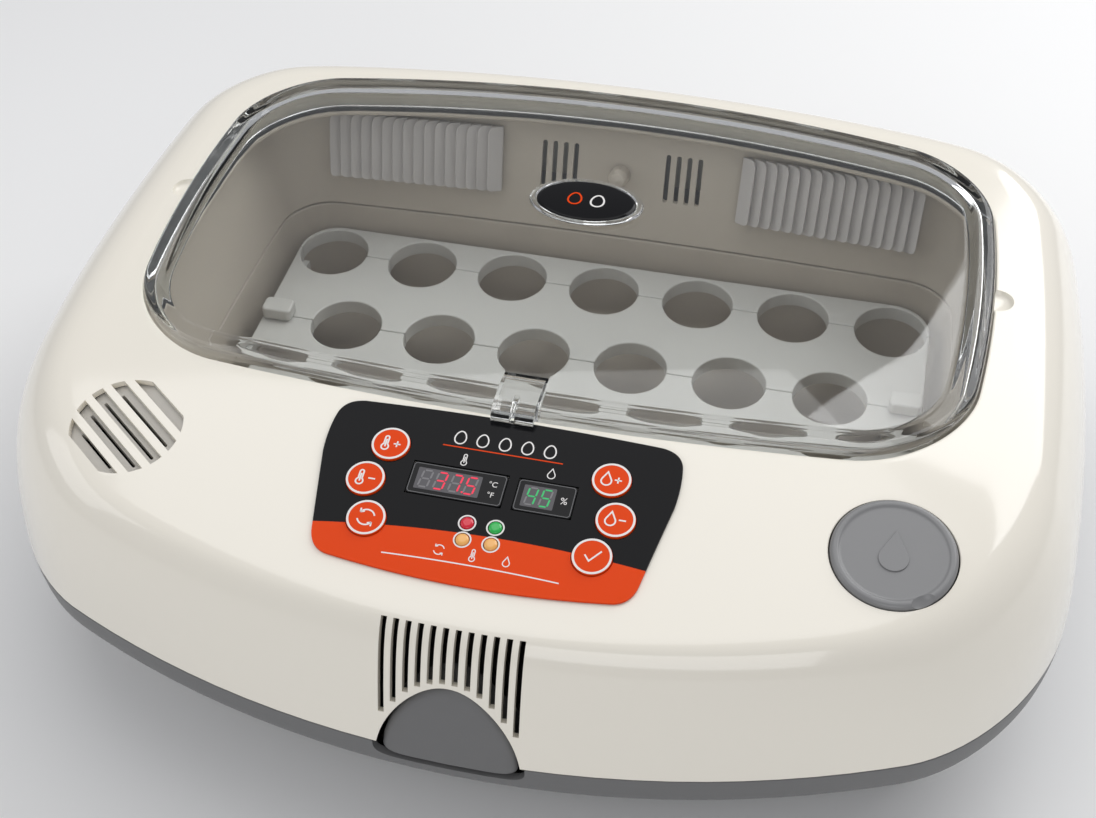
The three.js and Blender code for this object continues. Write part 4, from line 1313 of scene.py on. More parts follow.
@dataclass
class EggTray(SubAssembly):
    """The rocking tray: four bars with half-round egg seats, two ends and two lugs."""

    body: str = "tray"
    pitch: float = 48.0
    row_pitch: float = 52.5
    middle_row: float = 53.5
    seat_r: float = 17.5
    half: float = 163.0
    corner_r: float = 19.0
    front_edge: float = -20.5
    back_edge: float = 126.0
    top: float = 60.0
    thickness: float = 8.0

    def seats(self, count: int, y: float, side: int, forward: bool) -> list[list[float]]:
        """The half-round seats along one edge of a bar.

        Args:
            count: How many seats.
            y: The edge's place.
            side: 1 where the seats cut backward from the edge, -1 forward.
            forward: True to run from left to right.

        Returns:
            The outline's points.
        """
        places = [(k - (count - 1) / 2) * self.pitch for k in range(count)]
        points: list[list[float]] = []
        for x in places if forward else places[::-1]:
            start = 180 if forward else 0
            sweep = -180 if (forward == (side > 0)) else 180
            points += arc(x, y, self.seat_r, start, start + sweep, 28)
        return points

    def bar(self, y0: float, y1: float, front: int, back: int) -> Solid:
        """One bar of the tray, with rounded corners where an edge has no seats.

        Args:
            y0: Its front edge.
            y1: Its back edge.
            front: How many seats its front edge has.
            back: How many seats its back edge has.

        Returns:
            The bar.
        """
        half, r = self.half, self.corner_r
        points: list[list[float]] = []
        if front:
            points += [[-half, y0], *self.seats(front, y0, 1, True), [half, y0]]
        else:
            points += arc(-half + r, y0 + r, r, 180, 270, 12) + arc(half - r, y0 + r, r, 270, 360, 12)
        if back:
            points += [[half, y1], *self.seats(back, y1, -1, False), [-half, y1]]
        else:
            points += arc(half - r, y1 - r, r, 0, 90, 12) + arc(-half + r, y1 - r, r, 90, 180, 12)
        return prism(points, self.top - self.thickness, self.top)

    def build(self) -> None:
        """Builds the tray's pieces."""
        half_gap = GAP / 2
        front, back = self.middle_row - self.row_pitch, self.middle_row + self.row_pitch
        bars = (
            ("tray_bar_front", self.front_edge, front - half_gap, 0, 7),
            ("tray_bar_mid_front", front + half_gap, self.middle_row - half_gap, 7, 6),
            ("tray_bar_mid_back", self.middle_row + half_gap, back - half_gap, 6, 7),
            ("tray_bar_back", back + half_gap, self.back_edge, 7, 0),
        )
        for node, y0, y1, seats_front, seats_back in bars:
            piece = self.bar(y0, y1, seats_front, seats_back).piece(f"{node}_moulding")
            soften(piece, 1.1, 4, 50)
            self.fit(smooth(piece, 40, True), Finish.TRAY, "tray_grey", node)
        for node in ("tray_lug_left", "tray_lug_right"):
            low, high = (Vector(corner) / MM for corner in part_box(node))
            outline = np.array(rounded_box(high.x - low.x, high.y - low.y, 2.4))
            outline += ((low.x + high.x) / 2, (low.y + high.y) / 2)
            piece = soften(prism(outline, low.z, high.z).piece(f"{node}_block"), 1.2, 4)
            self.fit(smooth(piece, 40, True), Finish.TRAY, "tray_grey", node)
        for node in ("tray_end_left", "tray_end_right"):
            self.dress(node, Finish.TRAY)
        self.dress("sector_gear", Finish.NYLON)


@dataclass
class Chamber(SubAssembly):
    """The grey chamber wall under the lid, with its louvres, intake slots, fan and heaters."""

    slats: int = 16
    louvre_width: float = 88.0
    louvre_height: float = 34.0
    louvre_x: float = 106.2
    louvre_z: float = 105.5
    louvre_off: float = 2.6
    slat_rise: float = 4.4
    slat_overlap: float = 1.6
    slat_corners: tuple[float, ...] = (0.6, 3.2, 5.2, 0.6)
    intakes: int = 4
    intake_x: float = 23.5
    intake_pitch: float = 5.4
    intake_z: float = 104.75
    intake_height: float = 23.5
    intake_width: float = 2.4
    outlet_x: float = 107.0
    outlet_half: float = 36.0
    outlet_low: float = 95.0
    outlet_top: float = 116.0

    def back_wall(self, x: float, z: float, off: float) -> Matrix:
        """A place on the leaning back wall: X along it, Y up it and Z out into the chamber.

        Args:
            x: The place across.
            z: The place's level.
            off: How far it stands off the wall.

        Returns:
            The place as a matrix, in millimetres.
        """
        share = (z - SEAM) / (LEDGE - 2.5 - SEAM)

        def at(px: float) -> float:
            """The wall's Y at a place along it."""
            foot, top = (plan.back - plan.back_arc + math.sqrt(plan.back_arc ** 2 - px ** 2)
                         for plan in (CHAMBER_FOOT, CHAMBER_TOP))
            return foot + (top - foot) * share

        lean = math.atan2(CHAMBER_TOP.back - CHAMBER_FOOT.back, LEDGE - 2.5 - SEAM)
        yaw = math.atan2(at(x + 1) - at(x - 1), 2)
        across = Vector((math.cos(yaw), math.sin(yaw), 0))
        up = Vector((0, math.sin(lean), math.cos(lean)))
        out = across.cross(up).normalized()
        return axes(across, out.cross(across), out, Vector((x, at(x), z)) + out * off)

    def build(self) -> None:
        """Builds the liner and what it carries."""
        angles = CHAMBER_AROUND
        rings = [
            OPENING.ring(angles, 6.5, CROWN.over(-4.5)), OPENING.ring(angles, 0.6, CROWN.over(-4.5)),
            OPENING.ring(angles, 0.6, LEDGE), OPENING.ring(angles, -4, LEDGE),
            OPENING.ring(angles, -4, LEDGE - 2.5), CHAMBER_TOP.ring(angles, 0, LEDGE - 2.5),
            CHAMBER_FOOT.ring(angles, 0, SEAM), CHAMBER_FOOT.ring(angles, 2.5, SEAM),
            CHAMBER_TOP.ring(angles, 2.5, LEDGE), OPENING.ring(angles, 3, LEDGE),
            OPENING.ring(angles, 3, CROWN.over(-7)), OPENING.ring(angles, 6.5, CROWN.over(-7)),
        ]
        radii = [0.6, 0.6, 1.0, 0.9, 0.9, 2.2, 0.8, 0.8, 1.5, 0.5, 1.0, 0.6]
        piece = lofted(filleted(rings, radii, True), closed=True).piece("chamber_liner")
        carve(piece, self.intake_slots() + self.outlets() + [self.hose_hole()])
        self.fit(smooth(piece, 38, True), Finish.LINER, "liner_grey", "lid_liner")
        for side, node in ((-1, "louvre_left"), (1, "louvre_right")):
            self.build_louvre(side, node)
        for node, finish in (("fan_frame", Finish.BLACK), ("fan_rotor", Finish.BLACK),
                             ("heater_left", Finish.STEEL), ("heater_right", Finish.STEEL),
                             ("sensor_probe", Finish.LINER), ("lid_connector", Finish.BLACK),
                             ("humidity_pump", Finish.BLACK), ("water_hose", Finish.TANK)):
            self.dress(node, finish)

    def intake_slots(self) -> list[Solid]:
        """Two groups of upright slots in front of the fan.

        Returns:
            One cutting form for each slot.
        """
        slots = []
        shape = np.array(rounded_box(self.intake_width, self.intake_height, 1.1, 4))
        for side in (-1, 1):
            for k in range(self.intakes):
                outline = shape + (side * (self.intake_x + self.intake_pitch * k), self.intake_z)
                slots.append(prism(outline, -165, -125).moved(STANDING_XZ))
        return slots

    def outlets(self) -> list[Solid]:
        """The two windows behind the louvres."""
        return [block(side * self.outlet_x - self.outlet_half, side * self.outlet_x + self.outlet_half,
                      120, 165, self.outlet_low, self.outlet_top) for side in (-1, 1)]

    @staticmethod
    def hose_hole() -> Solid:
        """The hole that the water hose passes."""
        low, _ = (Vector(corner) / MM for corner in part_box("water_hose"))
        return rod(3.4, -20, 20, 24).moved(axes((1, 0, 0), (0, 0, 1), (0, -1, 0), (low.x + 2.5, -68, 88)))

    def build_louvre(self, side: int, node: str) -> None:
        """Builds one louvre: overlapping slats, each rounded at its free corners.

        Args:
            side: -1 for the left louvre and 1 for the right.
            node: The CAD node that it stands for.
        """
        pitch = self.louvre_width / self.slats
        place = self.back_wall(side * self.louvre_x, self.louvre_z, self.louvre_off)
        mirror = Matrix.Scale(side, 4, (1, 0, 0))
        half = self.louvre_height / 2
        width = pitch + self.slat_overlap
        corners = np.array([[0, -half], [width, -half], [width, half], [0, half]])
        outline = filleted(list(corners), self.slat_corners, True, 6)
        solids = []
        for k in range(self.slats):
            slat = prism(outline, 0.4, 2.6)
            rise = self.slat_rise * (1 - slat.points[:, 0] / width)
            slat.points[:, 2] += np.where(slat.points[:, 2] > 1, self.slat_rise - 0.6 - rise, 0)
            start = -self.louvre_width / 2 + k * pitch - self.slat_overlap
            solids.append(slat.moved(place @ mirror @ Matrix.Translation((start, 0, 0))).outward())
        piece = solids[0].plus(*solids[1:]).piece(f"{node}_slats")
        soften(piece, 0.55, 3, 45)
        self.fit(smooth(piece, 45, True), Finish.LOUVRE, "louvre_grey", node)


@dataclass
class PowerInlet(SubAssembly):
    """The recessed socket at the lid's back, with its two pins."""

    x: float = -120.0
    z: float = 96.0
    pin_r: float = 1.2
    pin_pitch: float = 8.0
    opening: tuple[float, float, float] = (30.0, 22.0, 2.0)
    recess: tuple[float, float, float] = (23.0, 15.0, 4.5)

    def hole(self) -> Solid:
        """The hole that the inlet takes in the lid's back wall."""
        outline = np.array(rounded_box(*self.opening)) + (self.x, self.z)
        return prism(outline, -200, -150).moved(STANDING_XZ)

    def build(self) -> None:
        """Builds the housing and the pins."""
        low, high = (Vector(corner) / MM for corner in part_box("power_inlet"))
        outline = np.array(rounded_box(high.x - low.x, high.z - low.z, 1.8)) + (self.x, self.z)
        piece = prism(outline, -high.y, -low.y).moved(STANDING_XZ).piece("power_inlet_housing")
        recess = np.array(rounded_box(*self.recess)) + (self.x, self.z)
        carve(piece, [prism(recess, -180, -low.y - 4).moved(STANDING_XZ)])
        soften(piece, 0.4, 2)
        self.fit(smooth(piece, 40, True), Finish.BLACK, "black_plastic", "power_inlet")
        for side, name in ((-1, "left"), (1, "right")):
            pin = turned([[0, 0], [self.pin_r, 0], [self.pin_r, 8.5], [0, 9.2]], 24, 0.5)
            x = self.x + side * self.pin_pitch / 2
            place = axes((1, 0, 0), (0, 0, -1), (0, 1, 0), (x, low.y + 4, self.z))
            self.fit(smooth(pin.moved(place).piece(f"power_pin_{name}")), Finish.STEEL, "motor_steel")


@dataclass
class WaterFiller(SubAssembly):
    """The water cap with its raised drop and thumb notch, over the tank."""

    body: str = "cap"
    radius: float = 23.4

    def build(self) -> None:
        """Builds the cap and dresses the seal and the tank."""
        place = CROWN.place(*LidShell().cap_at)
        r = self.radius
        corners = [np.array(corner, float) for corner in (
            (0, -10), (15, -10), (15, -3.6), (r, -3.2), (r, 0.3), (r - 1.1, 1.5), (r - 2.8, 1.5),
            (r - 3.7, 0.8), (0, 1.0))]
        line = filleted(corners, [0, 0.8, 1, 0.6, 0.8, 0.9, 0.8, 0.8, 0], False, 4)
        piece = turned(line, 120).piece("water_cap_moulding")
        notch = turned([[0, -7], [4, -5.9], [6.4, -2.9], [7, 0], [6.4, 2.9], [4, 5.9], [0, 7]], 48, 1.5)
        carve(piece, [notch.moved(Matrix.Translation((13.5, -20.5, 5.6)))])
        to_metres = place.copy()
        to_metres.translation = place.translation * MM
        piece.data.transform(to_metres)
        self.fit(smooth(piece, 40, True), Finish.CAP, "cap_grey", "water_cap")
        self.build_drop(place)
        self.dress("cap_seal", Finish.RUBBER)
        self.dress("water_tank", Finish.TANK)

    def build_drop(self, place: Matrix) -> None:
        """Builds the raised water drop in the middle of the cap."""
        corners = [np.array(corner, float) for corner in ([0.0, 9.5], *arc(0, -2.6, 5.6, 28, -208, 30))]
        outline = filleted(corners, [0.8] + [0] * (len(corners) - 1), True, 4)
        drop = prism(outline, 0.4, 1.5).moved(place).piece("water_cap_drop")
        soften(drop, 0.35, 3, 50)
        self.fit(smooth(drop, 40, True), Finish.CAP, "cap_grey")


@dataclass
class VentPort(SubAssembly):
    """The turning disc and the duct under the lid's vent slots."""

    body: str = "damper"
    slit_pitch: float = 7.4
    slit_reach: float = 18.5

    def build(self) -> None:
        """Builds the disc with its slits and dresses the duct."""
        lid = LidShell()
        place = CROWN.place(*lid.vent_at)
        tilt = Matrix.Rotation(math.radians(lid.vent_tilt), 4, "Z")
        profile = [[0, -8.4], [20.9, -8.4], [20.9, -6.0], [23.6, -5.8], [23.6, -4.0], [0, -4.0]]
        piece = turned(profile, 96, 0.3).moved(place).piece("vent_disc")
        slits = []
        for k in range(-2, 3):
            y = k * self.slit_pitch
            half = math.sqrt(self.slit_reach ** 2 - y ** 2)
            outline = np.array(rounded_box(2 * half, 1.4, 0.6, 3)) + (0, y)
            slits.append(prism(outline, -10, 0).moved(place @ tilt))
        carve(piece, slits)
        self.fit(smooth(piece, 40, True), Finish.DISC, "louvre_grey", "vent_damper")
        self.dress("vent_duct", Finish.LOUVRE)


# ---------------------------------------------------------------- control panel


Strokes = list[list[list[float]]]


@dataclass(frozen=True)
class Key:
    """One key: its name, its place, its mark and its body."""

    name: str
    at: tuple[float, float]
    mark: str
    radius: float = 7.7

    @property
    def body(self) -> str:
        """The CAD body that the key is."""
        return f"{self.name}_button"


KEYS = (
    Key("key_warmer", (-44.0, -92.5), "thermometer_plus"),
    Key("key_cooler", (-49.1, -109.7), "thermometer_minus"),
    Key("key_turn", (-43.7, -126.5), "turn"),
    Key("key_damper", (44.0, -92.5), "drop_plus"),
    Key("key_drier", (49.1, -109.7), "drop_minus"),
    Key("key_set", (43.7, -126.5), "tick"),
)


class Marks:
    """Line drawings for the keys and the panel, each a list of open lines about the origin."""

    @staticmethod
    def plus() -> Strokes:
        """A plus sign."""
        return [[[-1.3, 0], [1.3, 0]], [[0, -1.3], [0, 1.3]]]

    @staticmethod
    def minus() -> Strokes:
        """A minus sign."""
        return [[[-1.3, 0], [1.3, 0]]]

    @staticmethod
    def thermometer() -> Strokes:
        """A thermometer."""
        tube = [*arc(0, -2.0, 1.5, 60, -240, 14), *arc(0, 2.6, 0.8, 180, 0, 6), [0.8, -0.7]]
        return [tube, [[0, -2.0], [0, 1.8]]]

    @staticmethod
    def drop() -> Strokes:
        """A water drop."""
        return [[[0, 3.4], *arc(0, -1.0, 2.1, 25, -205, 16), [0, 3.4]]]

    @staticmethod
    def turn() -> Strokes:
        """Two arrows that turn about each other.

        Returns:
            An arc for each arrow, and the two strokes of its head.
        """
        lines: Strokes = []
        for start in (20, 200):
            lines.append(arc(0, 0, 3.3, start, start + 125, 12))
            tip = arc(0, 0, 3.3, start + 125, start + 125, 1)[0]
            heading = math.radians(start + 125 + 90)
            for side in (-1, 1):
                back = heading + math.pi + side * 0.65
                lines.append([tip, [tip[0] + 1.7 * math.cos(back), tip[1] + 1.7 * math.sin(back)]])
        return lines

    @staticmethod
    def tick() -> Strokes:
        """A tick."""
        return [[[-2.8, 0.2], [-0.8, -2.2], [3.2, 2.6]]]

    @staticmethod
    def egg(scale: float = 1.0) -> Strokes:
        """An egg standing on its blunt end.

        Args:
            scale: Its size, 1 for 8.4 mm tall.

        Returns:
            One closed line.
        """
        turn = np.linspace(0, 2 * math.pi, 33)
        y = 4.2 * np.sin(turn)
        x = 3.1 * np.cos(turn) * (1 - 0.035 * y)
        return [np.column_stack([x * scale, y * scale]).tolist()]

    @staticmethod
    def shifted(lines: Strokes, x: float, y: float, scale: float = 1.0) -> Strokes:
        """The same lines in another place and size."""
        return [[[px * scale + x, py * scale + y] for px, py in line] for line in lines]


def ribbon(line: Sequence[Sequence[float]], width: float) -> list[list[float]]:
    """The outline of a line drawn with a pen.

    Args:
        line: The line's points; it is closed where the last is the first.
        width: The pen's width.

    Returns:
        The outline: along the left side and back along the right.
    """
    p = np.array(line, float)
    closed = len(p) > 3 and np.allclose(p[0], p[-1])
    step = np.diff(p, axis=0)
    step /= np.maximum(np.hypot(*step.T)[:, None], 1e-9)
    first, last = (step[-1], step[0]) if closed else (step[0], step[-1])
    before = np.vstack([first, step])
    after = np.vstack([step, last])
    mean = before + after
    mean /= np.maximum(np.hypot(*mean.T)[:, None], 1e-9)
    normal = np.column_stack([-mean[:, 1], mean[:, 0]])
    spread = 1 / np.maximum((mean * after).sum(axis=1), 0.5)
    side = normal * (width / 2) * spread[:, None]
    return np.vstack([p + side, (p - side)[::-1]]).tolist()


@dataclass
class Printer:
    """Lays flat marks on the panel's curved top, or on a flat place, as thin raised print."""

    lift: float = 1.2
    thickness: float = 0.07

    def band(self, line: Sequence[Sequence[float]], width: float) -> Solid:
        """A line as a thin raised strip.

        Args:
            line: The line's points.
            width: The strip's width.

        Returns:
            The closed form, flat about the origin.
        """
        outline = np.array(ribbon(line, width))
        count = len(line)
        left, right = outline[:count], outline[count:][::-1]
        rings = []
        for a, b in zip(left, right):
            rings.append(np.array([[*a, 0], [*b, 0], [*b, self.thickness], [*a, self.thickness]]))
        return lofted(rings)

    def draw(self, lines: Strokes, width: float) -> Solid:
        """All of a drawing's lines."""
        solids = [self.band(line, width) for line in lines]
        return solids[0].plus(*solids[1:])

    def on_panel(self, solid: Solid) -> Solid:
        """Lays a flat drawing on the panel's curved top."""
        points = solid.points.copy()
        points[:, 2] += CROWN.height(points[:, 1]) + self.lift
        return Solid(points, solid.faces)


@dataclass
class ControlPanel(SubAssembly):
    """The printed panel with its keys, lamps and displays."""

    underside: float = 0.35
    upper_side: float = 1.2
    lamp_hole_r: float = 2.9
    lens_height: float = 14.3
    field_margin: float = 4.6
    printer: Printer = field(default_factory=Printer)
    lamps: tuple[tuple[str, float, float, Finish, str], ...] = (
        ("lamp_heating", -5.5, -121.2, Finish.LAMP_RED, "lamp_red"),
        ("lamp_humidifying", 5.5, -121.2, Finish.LAMP_GREEN, "lamp_green"),
        ("lamp_turning", -5.5, -128.4, Finish.LAMP_AMBER, "lamp_amber"),
        ("lamp_water_empty", 5.5, -128.4, Finish.LAMP_AMBER, "lamp_amber"),
    )

    @staticmethod
    def outline() -> list[list[float]]:
        """The panel's outline, from bends between its four sides.

        Returns:
            The outline's points, left side first.
        """
        def bend(start: Sequence[float], pull: Sequence[float], end: Sequence[float], steps: int) -> list:
            """Points of a bend, without its last."""
            t = np.linspace(0, 1, steps, endpoint=False)[:, None]
            a, b, c = (np.array(p, float) for p in (start, pull, end))
            return ((1 - t) ** 2 * a + 2 * t * (1 - t) * b + t ** 2 * c).tolist()

        half = bend((0, -147), (-27, -147), (-54, -143.5), 12)
        half += bend((-54, -143.5), (-61.5, -142.5), (-63, -134.5), 12)
        half += bend((-63, -134.5), (-66.3, -117), (-69.6, -100), 6)
        half += bend((-69.6, -100), (-70.8, -90), (-69.6, -82), 8)
        half += bend((-69.6, -82), (-68.5, -74.6), (-60, -73.6), 12)
        half += bend((-60, -73.6), (-30, -72.1), (0, -72.1), 12)
        return half + [[0, -72.1]] + [[-x, y] for x, y in half[:0:-1]]

    def sheet(self) -> Solid:
        """A sheet over the crown, between the panel's two heights.

        Returns:
            The sheet, wider and longer than the panel.
        """
        y = np.linspace(-60, -160, 41)
        under = np.column_stack([y, CROWN.height(y) + self.underside])
        over = np.column_stack([y, CROWN.height(y) + self.upper_side])[::-1]
        return prism(np.vstack([over, under]), -90, 90).moved(STANDING_YZ)

    def build(self) -> None:
        """Builds the panel and everything on it."""
        piece = self.sheet().piece("panel_overlay")
        carve(piece, [prism(self.outline(), 100, 170)], Carve.COMMON)
        holes = [rod(key.radius + 0.3, -8, 6, 56).moved(CROWN.place(*key.at)) for key in KEYS]
        for node in ("temperature_lens", "humidity_lens"):
            low, high = (Vector(corner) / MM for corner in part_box(node))
            holes.append(block(low.x - 0.3, high.x + 0.3, low.y - 0.3, high.y + 0.3, 100, 170))
        for _, x, y, _, _ in self.lamps:
            holes.append(rod(self.lamp_hole_r, -8, 6, 32).moved(CROWN.place(x, y)))
        carve(piece, holes)
        soften(piece, 0.18, 2, 55)
        self.fit(smooth(piece, 35, True), Finish.PANEL, "panel_black", "control_panel")
        for key in KEYS:
            self.build_key(key)
        for node, x, y, finish, slot in self.lamps:
            self.build_lamp(node, x, y, finish, slot)
        self.build_display("temperature_lens", 0.74, "8375", 3, 2, Finish.RED_LIGHT)
        self.build_display("humidity_lens", 0.66, "45", 2, 0, Finish.GREEN_LIGHT)
        self.build_print()
        self.dress("display_module", Finish.BLACK)
        self.dress("control_board", Finish.BOARD)

    def build_key(self, key: Key) -> None:
        """Builds one key with its white ring and its mark.

        Args:
            key: The key.
        """
        place = CROWN.place(*key.at)
        r = key.radius
        corners = [np.array(corner, float) for corner in (
            (0, -10.8), (2.5, -10.8), (2.5, -2.6), (r, -2.6), (r, 2.0), (r - 0.9, 2.2), (0, 2.2))]
        line = filleted(corners, [0, 0.3, 0.5, 0.5, 0.5, 0.4, 0], False, 4)
        body = turned(line, 80).moved(place).piece(f"{key.name}_cap")
        self.fit(smooth(body, 40), Finish.ORANGE, "key_orange", key.name, body=key.body)
        ring = turned([[r - 1.05, 2.16], [r - 0.2, 2.1], [r - 0.2, 2.22], [r - 1.05, 2.27]], 80,
                      closed=True)
        self.fit(smooth(ring.moved(place).piece(f"{key.name}_ring"), 40), Finish.WHITE, "key_orange",
                 body=key.body)
        on_key = place @ Matrix.Translation((0, 0, 2.2))
        mark = self.printer.draw(self.key_mark(key.mark), 0.62).moved(on_key)
        self.fit(mark.piece(f"{key.name}_mark"), Finish.WHITE, "key_orange", body=key.body)

    @staticmethod
    def key_mark(name: str) -> Strokes:
        """The drawing on a key: one picture, with a sign beside it where it has one.

        Args:
            name: The picture's name, and the sign's after an underscore.

        Returns:
            The drawing's lines.
        """
        if name == "turn":
            return Marks.turn()
        if name == "tick":
            return Marks.tick()
        picture, sign = name.split("_")
        lines = Marks.shifted(getattr(Marks, picture)(), -1.9, 0.0, 0.95)
        return lines + Marks.shifted(getattr(Marks, sign)(), 2.6, 0.0, 1.05)

    def build_lamp(self, node: str, x: float, y: float, finish: Finish, slot: str) -> None:
        """Builds one domed lamp in its printed ring.

        Args:
            node: The CAD node that it stands for.
            x: Its place across.
            y: Its place from front to back.
            finish: The dome's finish.
            slot: The record's material slot.
        """
        place = CROWN.place(x, y)
        line = [[0, -9], [2, -9], [2, -0.2], [2.6, -0.2], [2.6, 1.25], [2.3, 1.75], [1.5, 2.05], [0, 2.15]]
        lamp = turned(line, 40, 0.25).moved(place).piece(f"{node}_dome")
        self.fit(smooth(lamp, 45), finish, slot, node)
        r = self.lamp_hole_r
        ring = turned([[r, 1.15], [3.5, 1.15], [3.5, 1.27], [r, 1.27]], 48, closed=True).moved(place)
        self.fit(smooth(ring.piece(f"{node}_ring"), 40), Finish.WHITE, slot)

    def build_display(self, node: str, share: float, digits: str, lit: int, point_after: int,
                      light: Finish) -> None:
        """Builds one display: its lens, the grey field, and the digits on it.

        Args:
            node: The CAD node of the lens.
            share: The grey field's share of the lens's width.
            digits: The number to show.
            lit: How many of the last digits are lit.
            point_after: Which lit digit a point follows, or 0 for none.
            light: The finish of what is lit.
        """
        low, high = (Vector(corner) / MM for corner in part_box(node))
        x, y = (low.x + high.x) / 2, (low.y + high.y) / 2
        width, height = high.x - low.x, self.lens_height
        place = CROWN.place(x, y)
        lens = prism(rounded_box(width, height, 1.2), -0.4, 1.45).moved(place).piece(f"{node}_glass")
        soften(lens, 0.2, 2, 50)
        self.fit(smooth(lens, 35, True), Finish.GLOSS_BLACK, "display_glass", node)
        outline = rounded_box(width - 1.0, height - 1.0, 1.2)
        border = self.printer.band([*outline, outline[0]], 0.3)
        border = border.moved(place @ Matrix.Translation((0, 0, 1.42)))
        self.fit(border.piece(f"{node}_outline"), Finish.GREY_PRINT, "display_glass")
        field_width = width * share - 2.4
        field_x = -width / 2 + 2.6 + field_width / 2
        on_lens = place @ Matrix.Translation((field_x, 0, 1.42))
        field_height = height - self.field_margin
        grey = prism(rounded_box(field_width, field_height, 0.4, 3), 0, 0.06).moved(on_lens)
        self.fit(grey.piece(f"{node}_field"), Finish.DISPLAY, "display_glass")
        pitch = field_width / (len(digits) + 0.25)
        for wanted, finish, name in ((False, Finish.UNLIT, "unlit"), (True, light, "lit")):
            solids = []
            for k, digit in enumerate(digits):
                is_lit = k >= len(digits) - lit
                shown = SEGMENTS[digit] if is_lit else ""
                bars = shown if wanted else "".join(s for s in "abcdefg" if s not in shown)
                centre = (k - (len(digits) - 1) / 2) * pitch
                solids += [segment(bar, centre, pitch * 0.60, field_height * 0.78) for bar in bars]
            if wanted and point_after:
                between = (len(digits) - lit + point_after - 0.5 - (len(digits) - 1) / 2) * pitch
                place_of_point = Matrix.Translation((between + 0.05 * pitch, -3.4, 0))
                solids.append(rod(0.42, 0, 0.06, 16).moved(place_of_point))
            if solids:
                drawn = solids[0].plus(*solids[1:]).moved(on_lens @ Matrix.Translation((0, 0, 0.05)))
                self.fit(drawn.piece(f"{node}_{name}"), finish, "display_glass")
        self.build_units(node, place, field_x + field_width / 2, width / 2)

    def build_units(self, node: str, place: Matrix, left: float, right: float) -> None:
        """Builds the unit signs beside a display's digits.

        Args:
            node: The CAD node of the lens.
            place: The lens's place.
            left: The grey field's right end.
            right: The lens's right end.
        """
        middle = (left + right) / 2 - 0.2
        signs = (("°C", 2.2), ("°F", -2.6)) if node.startswith("temperature") else (("%", 0.0),)
        for k, (sign, y) in enumerate(signs):
            solid = written(sign, 3.3 if len(signs) > 1 else 4.2, self.printer.thickness)
            placed = solid.moved(place @ Matrix.Translation((middle, y, 1.44)))
            self.fit(placed.piece(f"{node}_unit_{k + 1}"), Finish.WHITE, "display_glass")

    def build_print(self) -> None:
        """Builds the line drawings printed on the panel."""
        eggs: Strokes = []
        for k in range(5):
            eggs += Marks.shifted(Marks.egg(), -18 + 9 * k, -84.0, 0.72)
        rule_x = np.linspace(-34, 34, 25)
        rule = [np.column_stack([rule_x, -138.6 - 0.0007 * rule_x ** 2]).tolist()]
        drawings = (
            ("panel_eggs", eggs, 0.55, Finish.WHITE),
            ("panel_egg_line", [[[-24, -88.6], [24, -88.6]]], 0.5, Finish.ORANGE),
            ("panel_thermometer", Marks.shifted(Marks.thermometer(), -13.8, -94.0, 0.75), 0.4,
             Finish.WHITE),
            ("panel_drop", Marks.shifted(Marks.drop(), 20.8, -94.0, 0.7), 0.4, Finish.WHITE),
            ("panel_rule", rule, 0.5, Finish.WHITE),
            ("panel_turn", Marks.shifted(Marks.turn(), -13.0, -134.3, 0.6), 0.4, Finish.WHITE),
            ("panel_heat", Marks.shifted(Marks.thermometer(), 0.0, -134.3, 0.72), 0.4, Finish.WHITE),
            ("panel_water", Marks.shifted(Marks.drop(), 13.0, -134.6, 0.62), 0.4, Finish.WHITE),
        )
        for name, lines, width, finish in drawings:
            solid = self.printer.on_panel(self.printer.draw(lines, width))
            self.fit(solid.piece(name), finish, "panel_black")


SEGMENTS = {"3": "abgcd", "4": "fgbc", "5": "afgcd", "7": "abc", "8": "abcdefg"}


def segment(name: str, centre: float, width: float, height: float) -> Solid:
    """One bar of a seven-bar digit, leaning a little.

    Args:
        name: The bar, from a at the top round to g in the middle.
        centre: The digit's middle along the line.
        width: The digit's width.
        height: The digit's height.

    Returns:
        The bar as a thin form.
    """
    w, h, pen, gap = width / 2, height / 2, width * 0.1, width * 0.07
    ends = {
        "a": ((-w, h), (w, h)), "b": ((w, h), (w, 0)), "c": ((w, 0), (w, -h)), "d": ((w, -h), (-w, -h)),
        "e": ((-w, -h), (-w, 0)), "f": ((-w, 0), (-w, h)), "g": ((-w, 0), (w, 0)),
    }[name]
    start, end = (np.array(point, float) for point in ends)
    along = (end - start) / np.linalg.norm(end - start)
    side = np.array([-along[1], along[0]]) * pen
    a, b = start + along * gap, end - along * gap
    outline = np.array([a, a + along * pen + side, b - along * pen + side, b,
                        b - along * pen - side, a + along * pen - side])
    outline[:, 0] += centre + outline[:, 1] * 0.12
    return prism(outline, 0, 0.05)


def written(text: str, size: float, thickness: float) -> Solid:
    """A unit sign as a thin form about the origin.

    Args:
        text: The sign.
        size: Its height.
        thickness: How thick it is.

    Returns:
        The form, which stands on Z = 0.
    """
    curve = bpy.data.curves.new("unit", "FONT")
    curve.body = text
    curve.size = size
    curve.align_x, curve.align_y = "CENTER", "CENTER"
    curve.extrude = thickness / 2
    made = bpy.data.objects.new("unit", curve)
    bpy.context.scene.collection.objects.link(made)
    mesh = bpy.data.meshes.new_from_object(made.evaluated_get(bpy.context.evaluated_depsgraph_get()))
    points = np.array([vertex.co for vertex in mesh.vertices]) + (0, 0, thickness / 2)
    faces = [tuple(face.vertices) for face in mesh.polygons]
    bpy.data.objects.remove(made)
    bpy.data.meshes.remove(mesh)
    return Solid(points, faces)


# ---------------------------------------------------------------- window


